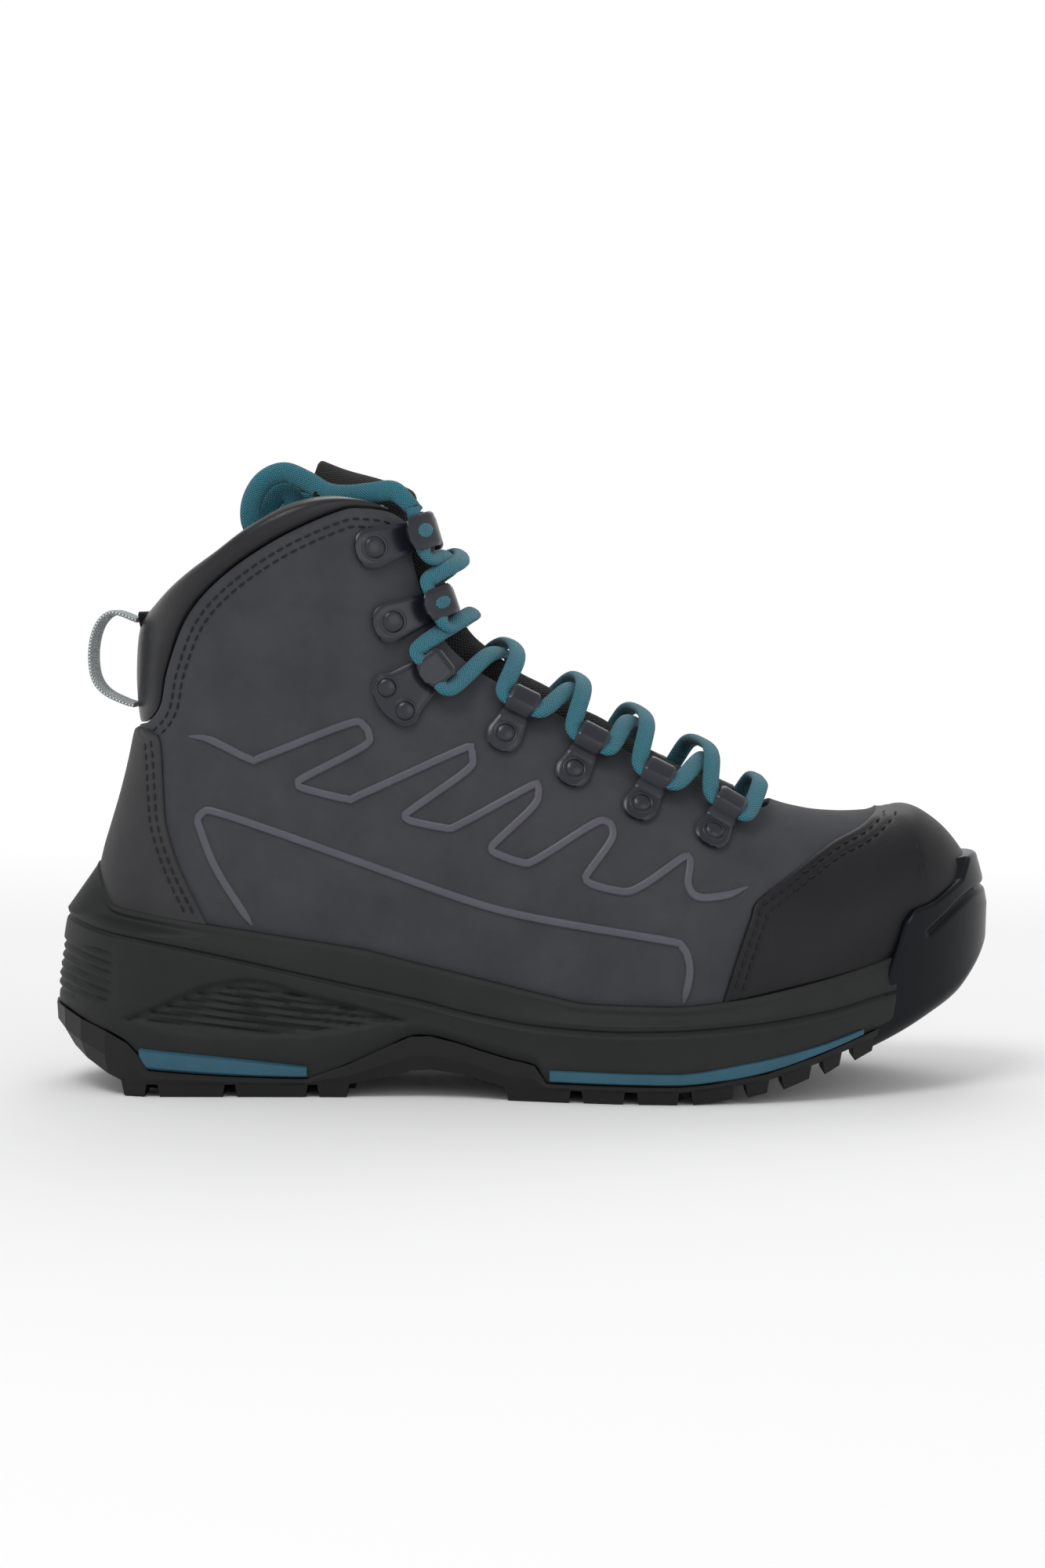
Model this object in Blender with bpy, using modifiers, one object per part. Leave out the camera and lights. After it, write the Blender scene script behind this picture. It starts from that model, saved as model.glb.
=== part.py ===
"""Wading boot, right foot: a laced ankle boot with a lugged rubber sole.

The frame: +X is the toe, +Z is up, -Y is the outer (lateral) side, and the origin is on the
floor under the middle of the boot. Tables hold shares: x runs from 0 at the heel to 1 at the
toe along LENGTH, z from 0 at the floor to 1 at the rim along HEIGHT.

The upper is a height field over its side view: at (x, z) its wall lies at
    y = spine(x) +- half_width(x, z),
where half_width falls to nothing, as a quarter ellipse does, at three lines of the side view:
the ridge over the instep, the front of the toe and the back of the heel.
"""
import math

import bpy
import bmesh
import numpy as np

# Driving sizes, in millimetres
LENGTH = 299.0          # sole, heel to toe
HEIGHT = 185.0          # floor to the top of the rim
BALL_WIDTH = 107.6      # sole at the ball
HEEL_WIDTH = 78.0       # sole at the heel
LAST_BALL = 98.4        # outside of the upper at the ball
LAST_HEEL = 68.0        # outside of the upper at the heel
SIDEWAYS = 6.0          # how far the toe swings to the inner side

WALL = 2.6              # upper
OVERLAY = 1.3           # toe cap and heel counter
GAP = 0.3               # between pieces that touch
LAST_FIT = 0.5          # between the upper and the sole round it
LUG_DEPTH = 4.0
BUMPER_CORE = 1.5       # midsole left round the last inside the bumper
LIP = 2.0               # midsole's edge against the upper
COLLAR_PAD = 8.0
COLLAR_DEPTH = 16.0     # how far the collar's pad reaches down inside
TONGUE_WIDTH = 54.0
TONGUE_THICK = 4.5
TONGUE_FIT = 1.3        # room between the tongue and the wall over it
INSOLE_FIT = 2.3        # room round the insole, inside the wall
INSOLE_THICK = 4.0
STRIP_DEPTH = 2.6       # coloured sole strips
STRIP_PROUD = 0.4
STRIP_FIT = 0.5         # room round a strip in its pocket
RIVET = 7.0             # diameter
LACE = 4.0              # diameter
WEBBING = 1.6           # pull loop's thickness
WEBBING_WIDTH = 20.0

MM = 0.001

# Side view: lines as (share of LENGTH, share of HEIGHT)
RIDGE = ((0.386, 1.027), (0.408, 0.951), (0.425, 0.876), (0.441, 0.811), (0.473, 0.751),
         (0.517, 0.705), (0.567, 0.657), (0.634, 0.596), (0.701, 0.542), (0.759, 0.492),
         (0.801, 0.472), (0.834, 0.467), (0.861, 0.470), (0.885, 0.479), (0.911, 0.489),
         (0.945, 0.482), (0.975, 0.471), (1.022, 0.454))
HEEL_BACK = ((0.069, 0.162), (0.065, 0.205), (0.057, 0.270), (0.054, 0.324), (0.056, 0.368),
             (0.060, 0.400), (0.069, 0.449), (0.077, 0.492), (0.084, 0.535), (0.090, 0.578),
             (0.094, 0.616), (0.096, 0.676), (0.097, 0.795), (0.100, 0.865), (0.110, 1.027))
TOE_FRONT = ((0.967, 0.184), (0.975, 0.227), (0.982, 0.270), (0.984, 0.324), (0.983, 0.368),
             (0.980, 0.411), (0.975, 0.486))
QUARTER_EDGE = ((0.094, 0.616), (0.107, 0.622), (0.123, 0.651), (0.132, 0.714), (0.155, 0.801),
                (0.193, 0.867), (0.250, 0.929), (0.312, 0.975), (0.336, 0.981), (0.363, 0.976),
                (0.380, 0.961))
THROAT_EDGE = ((0.380, 0.961), (0.388, 0.892), (0.403, 0.811), (0.425, 0.752), (0.458, 0.707),
               (0.502, 0.668), (0.570, 0.609), (0.636, 0.553), (0.700, 0.504), (0.735, 0.482),
               (0.756, 0.478), (0.766, 0.488))
RIM = ((0.095, 0.805), (0.109, 0.824), (0.130, 0.853), (0.154, 0.881), (0.183, 0.911),
       (0.219, 0.951), (0.261, 0.985), (0.301, 1.000), (0.336, 0.998), (0.360, 0.985),
       (0.380, 0.968))
SOLE_TOP = ((0.055, 0.392), (0.060, 0.368), (0.079, 0.314), (0.115, 0.304), (0.179, 0.288),
            (0.257, 0.268), (0.335, 0.248), (0.392, 0.226), (0.459, 0.201), (0.525, 0.177),
            (0.572, 0.163), (0.653, 0.161), (0.709, 0.169), (0.792, 0.195), (0.874, 0.230),
            (0.901, 0.246), (1.002, 0.303))
SOLE_GROOVE = ((0.000, 0.292), (0.114, 0.261), (0.335, 0.184), (0.393, 0.164), (0.453, 0.141),
               (0.525, 0.124), (0.597, 0.119), (0.652, 0.121), (0.731, 0.130), (0.818, 0.150),
               (0.869, 0.170), (0.918, 0.189), (1.000, 0.227))
FEATHER = ((0.048, 0.205), (0.166, 0.200), (0.299, 0.184), (0.400, 0.157), (0.500, 0.130),
           (0.600, 0.114), (0.667, 0.111), (0.734, 0.119), (0.801, 0.138), (0.868, 0.168),
           (0.918, 0.192), (0.985, 0.222))
OUTSOLE_TOP = ((0.000, 0.142), (0.008, 0.141), (0.048, 0.119), (0.085, 0.097), (0.104, 0.070),
               (0.115, 0.045), (0.279, 0.032), (0.319, 0.055), (0.360, 0.084), (0.386, 0.104),
               (0.396, 0.106), (0.406, 0.105), (0.457, 0.083), (0.487, 0.070), (0.513, 0.061),
               (0.525, 0.032), (0.654, 0.031), (0.707, 0.038), (0.751, 0.051), (0.801, 0.076),
               (0.841, 0.100), (0.875, 0.121), (0.918, 0.146), (1.000, 0.180))
TREAD_ROOT = ((0.000, 0.097), (0.012, 0.078), (0.038, 0.057), (0.065, 0.038), (0.092, 0.0216),
              (0.326, 0.0216), (0.341, 0.028), (0.366, 0.037), (0.396, 0.049), (0.416, 0.048),
              (0.450, 0.038), (0.474, 0.025), (0.487, 0.0216), (0.661, 0.0216), (0.707, 0.029),
              (0.751, 0.039), (0.801, 0.063), (0.841, 0.088), (0.875, 0.108), (0.905, 0.126),
              (1.000, 0.158))
BUMPER_FOOT = ((0.700, 0.004), (0.751, 0.017), (0.801, 0.041), (0.841, 0.066), (0.875, 0.086),
               (0.905, 0.106), (0.935, 0.130), (0.965, 0.157), (0.985, 0.190), (1.000, 0.225))

# Plan view: spine's swing as a share of SIDEWAYS, half widths as shares of the named widths
SPINE = ((0.000, 0.00), (0.182, 0.00), (0.349, -0.25), (0.433, -0.50), (0.517, -0.65),
         (0.600, -0.53), (0.667, -0.25), (0.734, 0.10), (0.801, 0.46), (0.851, 0.70),
         (0.901, 0.87), (0.952, 0.96), (1.002, 1.00))
# x, share of the heel's half width, share of the ball's half width added to it
SOLE_PLAN = ((0.000, 1.00, 0.00), (0.182, 1.00, 0.00), (0.266, 0.99, 0.00), (0.349, 0.94, 0.03),
             (0.433, 0.81, 0.15), (0.517, 0.60, 0.39), (0.600, 0.34, 0.69), (0.667, 0.12, 0.91),
             (0.734, 0.00, 1.00), (1.002, 0.00, 0.995))
LAST_PLAN = ((0.000, 1.00, 0.00), (0.299, 1.00, 0.00), (0.400, 0.96, 0.04), (0.500, 0.72, 0.28),
             (0.584, 0.42, 0.60), (0.650, 0.18, 0.85), (0.701, 0.00, 1.00), (0.751, 0.00, 0.99),
             (0.801, 0.00, 0.955), (0.851, 0.00, 0.92), (0.901, 0.00, 0.90), (1.002, 0.00, 0.89))
# z, share of the plan's half width
WAIST = ((0.108, 0.97), (0.200, 0.99), (0.324, 1.00), (0.405, 0.99), (0.486, 0.95),
         (0.568, 0.92), (0.649, 0.92), (0.757, 0.96), (0.865, 1.02), (1.000, 1.08))
# Share along the ridge, rounding depth as a share of HEIGHT
RIDGE_ROUND = ((0.00, 0.26), (0.20, 0.27), (0.35, 0.34), (0.50, 0.40), (0.65, 0.36),
               (0.78, 0.27), (0.88, 0.23), (1.00, 0.22))
HEEL_ROUND = 0.127      # of LENGTH
TOE_ROUND = 0.200
SOLE_HEEL_ROUND = 0.134
SOLE_TOE_ROUND = 0.285
CORNER = 3.5            # how squarely the ridge turns into the toe

# The lines where pieces meet on the side
CAP_SEAM = ((0.703, 0.160), (0.720, 0.245), (0.733, 0.301), (0.741, 0.330), (0.775, 0.368),
            (0.822, 0.416), (0.865, 0.450), (0.915, 0.520))
COUNTER_SEAM = ((0.085, 0.640), (0.113, 0.606), (0.124, 0.590), (0.129, 0.505), (0.133, 0.450),
                (0.147, 0.385), (0.165, 0.325), (0.182, 0.270))
BUMPER_EDGE = ((0.858, 0.050), (0.899, 0.293), (0.909, 0.313), (0.932, 0.324), (0.968, 0.357),
               (0.985, 0.392), (1.050, 0.410))

# Tread blocks: rows as (from x, to x), each split across in shares of the sole's half width
TREAD_ROWS = ((0.086, 0.113), (0.124, 0.194), (0.204, 0.280), (0.289, 0.322),
              (0.484, 0.551), (0.561, 0.606), (0.617, 0.661), (0.672, 0.717),
              (0.728, 0.753), (0.765, 0.797), (0.808, 0.829), (0.840, 0.864))
TREAD_COLUMNS = ((-0.96, -0.60), (-0.50, -0.08), (0.08, 0.50), (0.60, 0.96))
STAGGER = 0.012         # how far the inner blocks sit ahead, of LENGTH

# Coloured strips: the top line of each, (x, z)
HEEL_STRIP = ((0.106, 0.083), (0.190, 0.069), (0.279, 0.053))
FORE_STRIP = ((0.529, 0.056), (0.654, 0.054), (0.731, 0.071), (0.803, 0.095), (0.851, 0.119))
# Slots in the sole's side: (from x, to x, z at the start, z at the end)
HEEL_SLOTS = ((0.155, 0.330, 0.150, 0.118), (0.150, 0.335, 0.132, 0.103),
              (0.145, 0.330, 0.114, 0.088))
SLOT_TALL = 1.5
SLOT_DEEP = 1.1

# Lacing hardware: x, z of the rivet, and the turn of its long side from level, degrees
TABS = (("1", 0.483, 0.605, 62.0), ("2", 0.554, 0.545, 60.0), ("3", 0.623, 0.487, 58.0),
        ("4", 0.697, 0.440, 57.0))
COLLAR_FRONT = 0.363    # where the padded rim stops short of the throat
TONGUE_START = 0.600    # shares along the ridge where the tongue starts and turns back
TONGUE_TURN = 0.035
# x, z, turn in degrees, share of the width
TONGUE_TOP = ((0.372, 1.005, 22.0, 0.97), (0.345, 1.025, 48.0, 0.92), (0.315, 1.040, 62.0, 0.86),
              (0.288, 1.052, 60.0, 0.76))
PULL_LOOP = ((0.0935, 0.795), (0.068, 0.808), (0.052, 0.787), (0.045, 0.745), (0.047, 0.700),
             (0.058, 0.673), (0.078, 0.656), (0.0905, 0.650))
# The lace's free ends: x, y in millimetres, z
LACE_END_OUTER = ((0.362, -24.0, 1.022), (0.335, -20.0, 1.058), (0.300, -14.0, 1.078),
                  (0.262, -10.0, 1.076), (0.236, -9.0, 1.030), (0.218, -9.0, 0.940),
                  (0.214, -9.0, 0.860))
LACE_END_INNER = ((0.362, 22.0, 1.024), (0.335, 16.0, 1.062), (0.300, 6.0, 1.092),
                  (0.262, 0.0, 1.082), (0.236, 1.0, 1.010), (0.224, 3.0, 0.900),
                  (0.222, 4.0, 0.840))
LACE_OUT = 2.2          # how far the lower strand's middle stands off the last
LACE_LIFT = 2.1         # and further out where it passes the throat's edge
TAB_LONG = 17.0
TAB_WIDE = 8.0
TUNNEL = 5.6            # height inside the tab's arch
HOOKS = (("ankle", 0.372, 0.665, 38.0), ("middle", 0.366, 0.792, 22.0),
         ("top", 0.347, 0.915, 18.0))
HOOK_LONG = 20.0
HOOK_WIDE = 10.5
HOOK_RISE = 5.2
METAL = 1.2             # sheet thickness of tabs and hooks
SEAT = 0.8              # room under them, over the upper's curve

COLOURS = {  # sRGB, roughness, metallic
    "nubuck": ("46454a", 0.75, 0.0), "overlay": ("2c2c30", 0.55, 0.0),
    "counter": ("4c4c4e", 0.60, 0.0), "lining": ("313134", 0.85, 0.0),
    "midsole": ("353636", 0.65, 0.0), "rubber": ("1d1d1e", 0.60, 0.0),
    "bumper": ("22242a", 0.50, 0.0), "accent": ("2f5a6a", 0.55, 0.0),
    "hardware": ("3c3e4c", 0.35, 0.6), "lace": ("3c7f8d", 0.80, 0.0),
    "webbing": ("8b9698", 0.85, 0.0),
}


# Numbers and curves

def place_x(share):
    return (np.asarray(share, float) - 0.5) * LENGTH


def place_z(share):
    return np.asarray(share, float) * HEIGHT


def smooth(table, column, x):
    """A table's column at x (a share), through its rows without overshoot."""
    xs = np.array([row[0] for row in table], float)
    ys = np.array([row[column] for row in table], float)
    step = np.diff(xs)
    rise = np.diff(ys) / step
    slope = np.zeros(len(xs))
    same = rise[:-1] * rise[1:] > 0
    slope[1:-1][same] = 2 * rise[:-1][same] * rise[1:][same] / (rise[:-1] + rise[1:])[same]
    slope[0], slope[-1] = rise[0], rise[-1]
    x = np.clip(x, xs[0], xs[-1])
    at = np.clip(np.searchsorted(xs, x, side="right") - 1, 0, len(step) - 1)
    t = (x - xs[at]) / step[at]
    return ((2 * t**3 - 3 * t**2 + 1) * ys[at] + (t**3 - 2 * t**2 + t) * step[at] * slope[at]
            + (3 * t**2 - 2 * t**3) * ys[at + 1] + (t**3 - t**2) * step[at] * slope[at + 1])


def line_z(table, x):
    """Height in millimetres of a side-view line at x millimetres."""
    return place_z(smooth(table, 1, np.asarray(x, float) / LENGTH + 0.5))


def spline(points, per_span=8):
    """A dense smooth path through the points (rows of any width)."""
    p = np.array(points, float)
    p = np.vstack([2 * p[0] - p[1], p, 2 * p[-1] - p[-2]])
    t = np.linspace(0, 1, per_span, endpoint=False)[:, None]
    spans = [0.5 * (2 * b + (c - a) * t + (2 * a - 5 * b + 4 * c - d) * t**2
                    + (3 * b - a - 3 * c + d) * t**3)
             for a, b, c, d in zip(p, p[1:], p[2:], p[3:])]
    return np.vstack(spans + [p[-2:-1]])


def even(path, share):
    """Points at shares of a path's length."""
    run = np.concatenate([[0], np.cumsum(np.linalg.norm(np.diff(path, axis=0), axis=1))])
    at = np.asarray(share, float) * run[-1]
    return np.stack([np.interp(at, run, path[:, k]) for k in range(path.shape[1])], -1)


def side_line(table, per_span=8):
    """A table of shares as a dense (x, z) path in millimetres."""
    path = spline([(row[0], row[1]) for row in table], per_span)
    return np.stack([place_x(path[:, 0]), place_z(path[:, 1])], -1)


def bunched(count, how=1.0):
    """Shares from 0 to 1, closer together at both ends."""
    even_share = np.linspace(0, 1, count + 1)
    return even_share + how * ((1 - np.cos(even_share * math.pi)) / 2 - even_share)


# The last

RIDGE_PATH = side_line(RIDGE)
RIDGE_RUN = np.concatenate([[0], np.cumsum(np.linalg.norm(np.diff(RIDGE_PATH, axis=0), axis=1))])


def spine(x):
    return SIDEWAYS * smooth(SPINE, 1, np.asarray(x, float) / LENGTH + 0.5)


def plan(table, heel, ball, x):
    share = np.asarray(x, float) / LENGTH + 0.5
    return smooth(table, 1, share) * heel / 2 + smooth(table, 2, share) * ball / 2


def full_width(x, z):
    share = np.asarray(z, float) / HEIGHT
    return plan(LAST_PLAN, LAST_HEEL, LAST_BALL, x) * smooth(WAIST, 1, share)


def ridge_depth(x, z):
    """How far (x, z) lies below the ridge, as a share of its rounding there; minus outside."""
    p = np.stack([np.ravel(x), np.ravel(z)], -1)[:, None]
    a, b = RIDGE_PATH[:-1], RIDGE_PATH[1:]
    run = ((p - a) * (b - a)).sum(-1) / ((b - a) ** 2).sum(-1)
    run = np.clip(run, 0, 1)
    away = p - (a + run[..., None] * (b - a))
    gap = np.linalg.norm(away, axis=-1)
    near = gap.argmin(1)
    rows = np.arange(len(near))
    along = (b - a)[near]
    off = away[rows, near]
    inside = np.sign(along[:, 1] * off[:, 0] - along[:, 0] * off[:, 1])
    share = (RIDGE_RUN[near] + run[rows, near] * np.diff(RIDGE_RUN)[near]) / RIDGE_RUN[-1]
    depth = inside * gap[rows, near] / (HEIGHT * smooth(RIDGE_ROUND, 1, share))
    return depth.reshape(np.shape(x))


def heel_x(z):
    rows = [(row[1], row[0]) for row in HEEL_BACK]
    return place_x(smooth(rows, 1, np.asarray(z, float) / HEIGHT))


def toe_x(z):
    rows = [(row[1], row[0]) for row in TOE_FRONT]
    return place_x(smooth(rows, 1, np.asarray(z, float) / HEIGHT))


def edge_level(x, z):
    """0 well inside the side view, 1 on its outline, more outside."""
    x, z = np.asarray(x, float), np.asarray(z, float)
    top = np.maximum(1 - ridge_depth(x, z), 0)
    toe = np.maximum(1 - (toe_x(z) - x) / (TOE_ROUND * LENGTH), 0)
    back = np.maximum(1 - (x - heel_x(z)) / (HEEL_ROUND * LENGTH), 0)
    return (top**CORNER + toe**CORNER + back**CORNER) ** (1 / CORNER)


def half_width(x, z):
    return full_width(x, z) * np.sqrt(np.maximum(1 - edge_level(x, z) ** 2, 0))


def outline_at(pivot, angle):
    """Where rays from the pivot, at angles from level, leave the side view."""
    low, high = np.zeros(len(angle)), np.full(len(angle), 0.5 * LENGTH)
    for _ in range(40):
        mid = (low + high) / 2
        out = edge_level(pivot[0] + mid * np.cos(angle), pivot[1] + mid * np.sin(angle)) > 1
        low, high = np.where(out, low, mid), np.where(out, mid, high)
    return np.stack([pivot[0] + low * np.cos(angle), pivot[1] + low * np.sin(angle)], -1)


def tip_x(z):
    """The toe's foremost x at a height."""
    z = np.asarray(z, float)
    low, high = np.full(z.shape, place_x(0.75)), np.full(z.shape, place_x(1.1))
    for _ in range(40):
        mid = (low + high) / 2
        out = edge_level(mid, z) > 1
        low, high = np.where(out, low, mid), np.where(out, mid, high)
    return low


def relaxed(grid, rounds):
    """A side-view grid evened by Winslow's equations, which keep its cells from folding over."""
    grid = grid.copy()
    for _ in range(rounds):
        du, dv = (grid[2:, 1:-1] - grid[:-2, 1:-1]) / 2, (grid[1:-1, 2:] - grid[1:-1, :-2]) / 2
        along, across = (dv * dv).sum(-1, keepdims=True), (du * du).sum(-1, keepdims=True)
        twist = grid[2:, 2:] - grid[:-2, 2:] - grid[2:, :-2] + grid[:-2, :-2]
        pull = (along * (grid[2:, 1:-1] + grid[:-2, 1:-1])
                + across * (grid[1:-1, 2:] + grid[1:-1, :-2])
                - (du * dv).sum(-1, keepdims=True) * twist / 2)
        grid[1:-1, 1:-1] = pull / (2 * (along + across) + 1e-9)
    return grid


def upper_grid(around, up):
    """(x, z) of the upper's side, from heel to toe and from feather to top edge."""
    u, v = bunched(around, 0.85)[:, None], np.linspace(0, 1, up + 1)[None, :]
    top = np.vstack([side_line(QUARTER_EDGE)[:-1], side_line(THROAT_EDGE)])
    low_x = place_x(bunched(200))
    first, last = place_x(FEATHER[0][0]), place_x(FEATHER[-1][0])
    for _ in range(8):
        first, last = heel_x(line_z(FEATHER, first)), tip_x(line_z(FEATHER, last))
    low_x = first + (last - first) * np.linspace(0, 1, 200)
    low = np.stack([low_x, line_z(FEATHER, low_x)], -1)
    back_z = np.linspace(low[0, 1], top[0, 1], 60)
    back = np.stack([heel_x(back_z), back_z], -1)
    pivot = (place_x(0.80), place_z(0.28))
    ends = [math.atan2(p[1] - pivot[1], p[0] - pivot[0]) for p in (low[-1], top[-1])]
    front = outline_at(pivot, np.linspace(ends[0], ends[1], 120))
    low, top = even(low, u[:, 0])[:, None], even(top, u[:, 0])[:, None]
    back, front = even(back, v[0])[None], even(front, v[0])[None]
    top = top + (front[:, -1:] - top[-1:]) * u[..., None] ** 8
    u, v = u[..., None], v[..., None]
    corners = ((1 - u) * (1 - v) * low[:1] + u * (1 - v) * low[-1:]
               + (1 - u) * v * top[:1] + u * v * top[-1:])
    grid = (1 - v) * low + v * top + (1 - u) * back + u * front - corners
    return grid + (relaxed(grid, 60) - grid) * np.clip((u - 0.55) / 0.2, 0, 1)


def on_upper(x, z, side, out=0.0):
    """Points on the upper's outside at (x, z), moved out along its normal. Side -1 is lateral."""
    x, z = np.asarray(x, float), np.asarray(z, float)
    step = 0.4
    width = half_width(x, z)
    slope_x = (half_width(x + step, z) - half_width(x - step, z)) / (2 * step)
    slope_z = (half_width(x, z + step) - half_width(x, z - step)) / (2 * step)
    bend = (spine(x + step) - spine(x - step)) / (2 * step)
    normal = np.stack([-slope_x - side * bend, side * np.ones_like(x), -slope_z], -1)
    normal /= np.linalg.norm(normal, axis=-1, keepdims=True)
    point = np.stack([x, spine(x) + side * width, z], -1)
    return point + normal * np.asarray(out, float)[..., None]


# Blender

def linear(hex_colour):
    parts = [int(hex_colour[k:k + 2], 16) / 255 for k in (0, 2, 4)]
    return [c / 12.92 if c <= 0.04045 else ((c + 0.055) / 1.055) ** 2.4 for c in parts] + [1.0]


def material(name):
    found = bpy.data.materials.get(name)
    if found:
        return found
    colour, roughness, metallic = COLOURS[name]
    made = bpy.data.materials.new(name)
    made.use_nodes = True
    shader = made.node_tree.nodes["Principled BSDF"]
    shader.inputs["Base Color"].default_value = linear(colour)
    shader.inputs["Roughness"].default_value = roughness
    shader.inputs["Metallic"].default_value = metallic
    return made


def clear_scene():
    for obj in list(bpy.data.objects):
        bpy.data.objects.remove(obj, do_unlink=True)
    for group in list(bpy.data.collections):
        bpy.data.collections.remove(group)


def collection(name):
    made = bpy.data.collections.new(name)
    bpy.context.scene.collection.children.link(made)
    return made


def add_object(name, mesh, look, group):
    obj = bpy.data.objects.new(name, mesh)
    bpy.data.collections[group].objects.link(obj)
    if look:
        mesh.materials.append(material(look))
        mesh.shade_smooth()
        mesh.set_sharp_from_angle(angle=math.radians(35))
    else:
        obj.hide_render = True
        obj.display_type = "WIRE"
    return obj


def from_faces(name, points, faces, look, group):
    """A mesh from points in millimetres, its doubled points joined and its faces turned out."""
    made = bmesh.new()
    verts = [made.verts.new(p * MM) for p in np.asarray(points, float).reshape(-1, 3)]
    for face in faces:
        made.faces.new([verts[k] for k in face])
    bmesh.ops.remove_doubles(made, verts=made.verts, dist=1e-6)
    bmesh.ops.recalc_face_normals(made, faces=made.faces)
    mesh = bpy.data.meshes.new(name)
    made.to_mesh(mesh)
    made.free()
    return add_object(name, mesh, look, group)


def part(name, points, faces, look):
    return from_faces(name, points, faces, look, "wading_boot")


def cutter(name, points, faces):
    return from_faces(name, points, faces, None, "cutters")


def boolean(obj, other, operation):
    step = obj.modifiers.new(operation.title() + "_" + other.name, "BOOLEAN")
    step.operation = operation
    step.solver = "EXACT"
    step.object = other
    return obj


def join_meshes(groups):
    """Several (points, faces) as one."""
    points, faces, start = [], [], 0
    for some, their in groups:
        some = np.asarray(some, float).reshape(-1, 3)
        points.append(some)
        faces += [[k + start for k in face] for face in their]
        start += len(some)
    return np.vstack(points), faces


# Lofts

def stack(levels):
    """A closed solid from loops (level, point, xyz): walls, and ladders across the two ends.

    Each loop runs up one side and back down the other, so point k faces point -1 - k.
    """
    levels = np.asarray(levels, float)
    rows, count = levels.shape[:2]
    faces = [[r * count + k, r * count + (k + 1) % count,
              (r + 1) * count + (k + 1) % count, (r + 1) * count + k]
             for r in range(rows - 1) for k in range(count)]
    for base in (0, (rows - 1) * count):
        faces += [[base + k, base + k + 1, base + count - 2 - k, base + count - 1 - k]
                  for k in range(count // 2 - 1)]
    return levels.reshape(-1, 3), faces


def sweep(sections, closed=False):
    """A solid from rings (station, point, xyz), capped at both ends unless closed."""
    sections = np.asarray(sections, float)
    count, ring = sections.shape[:2]
    spans = count if closed else count - 1
    faces = [[s * ring + k, s * ring + (k + 1) % ring,
              (s + 1) % count * ring + (k + 1) % ring, (s + 1) % count * ring + k]
             for s in range(spans) for k in range(ring)]
    if not closed:
        faces += [list(range(ring)), [(count - 1) * ring + k for k in range(ring)][::-1]]
    return sections.reshape(-1, 3), faces


def prism(outline, reach=90.0):
    """A side-view outline in (x, z) carried across the boot."""
    outline = np.asarray(outline, float)
    count = len(outline)
    points = [[x, y, z] for y in (-reach, reach) for x, z in outline]
    faces = [[k, (k + 1) % count, count + (k + 1) % count, count + k] for k in range(count)]
    return points, faces + [list(range(count))[::-1], list(range(count, 2 * count))]


def sole_stations():
    """Shares of the sole's length where it gets a section: bunched, and at each line's turns."""
    own = [0.092, 0.104, 0.115, 0.279, 0.319, 0.386, 0.406, 0.457, 0.487, 0.513, 0.525,
           0.60, 0.661]
    spread = [s for s in bunched(24) if min(abs(s - o) for o in own) > 0.012]
    return np.array(sorted(spread + own))


SOLE_X = place_x(sole_stations())


def sole_half(x):
    ends = ((x + LENGTH / 2) / (SOLE_HEEL_ROUND * LENGTH), (LENGTH / 2 - x) / (SOLE_TOE_ROUND * LENGTH))
    round_off = [np.sqrt(np.maximum(1 - (1 - np.clip(e, 0, 1)) ** 2, 0)) for e in ends]
    return plan(SOLE_PLAN, HEEL_WIDTH, BALL_WIDTH, x) * round_off[0] * round_off[1]


def both_sides(x, y, z):
    """A loop heel to toe on the lateral side and back on the medial one, from half widths."""
    lateral = np.stack([x, spine(x) - y, z], -1)
    medial = np.stack([x, spine(x) + y, z], -1)
    return np.vstack([lateral, medial[::-1]])


def plan_normals(loop):
    """Outward normals in plan. Where the two sides meet at a tip, their ends share one."""
    half = len(loop) // 2
    normals = np.zeros_like(loop)
    for part_of in (slice(0, half), slice(half, None)):
        along = np.gradient(loop[part_of, :2], axis=0)
        normals[part_of, 0], normals[part_of, 1] = along[:, 1], -along[:, 0]
    for one, other in ((0, -1), (half - 1, half)):
        if np.linalg.norm(loop[one, :2] - loop[other, :2]) < 1e-6:
            normals[one] = normals[other] = normals[one] + normals[other]
    return normals / np.linalg.norm(normals, axis=1, keepdims=True)


def sole_loop(inset, z, stations=None):
    """The sole's outline drawn in by an inset, at heights z(x) or given for each station."""
    x = SOLE_X if stations is None else stations
    loop = both_sides(x, sole_half(x), np.zeros_like(x))
    inset = np.concatenate([np.broadcast_to(inset, x.shape), np.broadcast_to(inset, x.shape)[::-1]])
    moved = loop - plan_normals(loop) * inset[:, None]
    moved[:, 2] = np.concatenate([z, z[::-1]])
    return moved


def last_loop(grow, level, stations=None):
    """The upper's outline in plan, grown, where level(x) gives its height."""
    share = (SOLE_X / LENGTH + 0.5) if stations is None else stations
    back, front = np.full_like(share, place_x(0.06)), np.full_like(share, place_x(0.98))
    for _ in range(6):
        x = back + (front - back) * share
        z = level(x)
        back, front = heel_x(z), tip_x(z)
    x = back + (front - back) * share
    width = half_width(x, z)
    width[[0, -1]] = 0 if stations is None else width[[0, -1]]
    loop = both_sides(x, width, z)
    return loop + plan_normals(loop) * grow


# Sole

def bumper_prism(grow=0.0):
    """The part of the side view that the toe bumper takes, with its seam moved back to grow it."""
    line = np.array([(place_x(x), place_z(z)) for x, z in BUMPER_EDGE])
    seam = line[1] - line[0]
    back = np.array([-seam[1], seam[0]]) / np.linalg.norm(seam) * grow
    line[:2] += back
    line[2:, 1] += grow
    far = place_x(1.08)
    return [tuple(p) for p in line] + [(far, line[-1][1]), (far, -5.0), (line[0][0] - 6, -5.0)]


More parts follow.
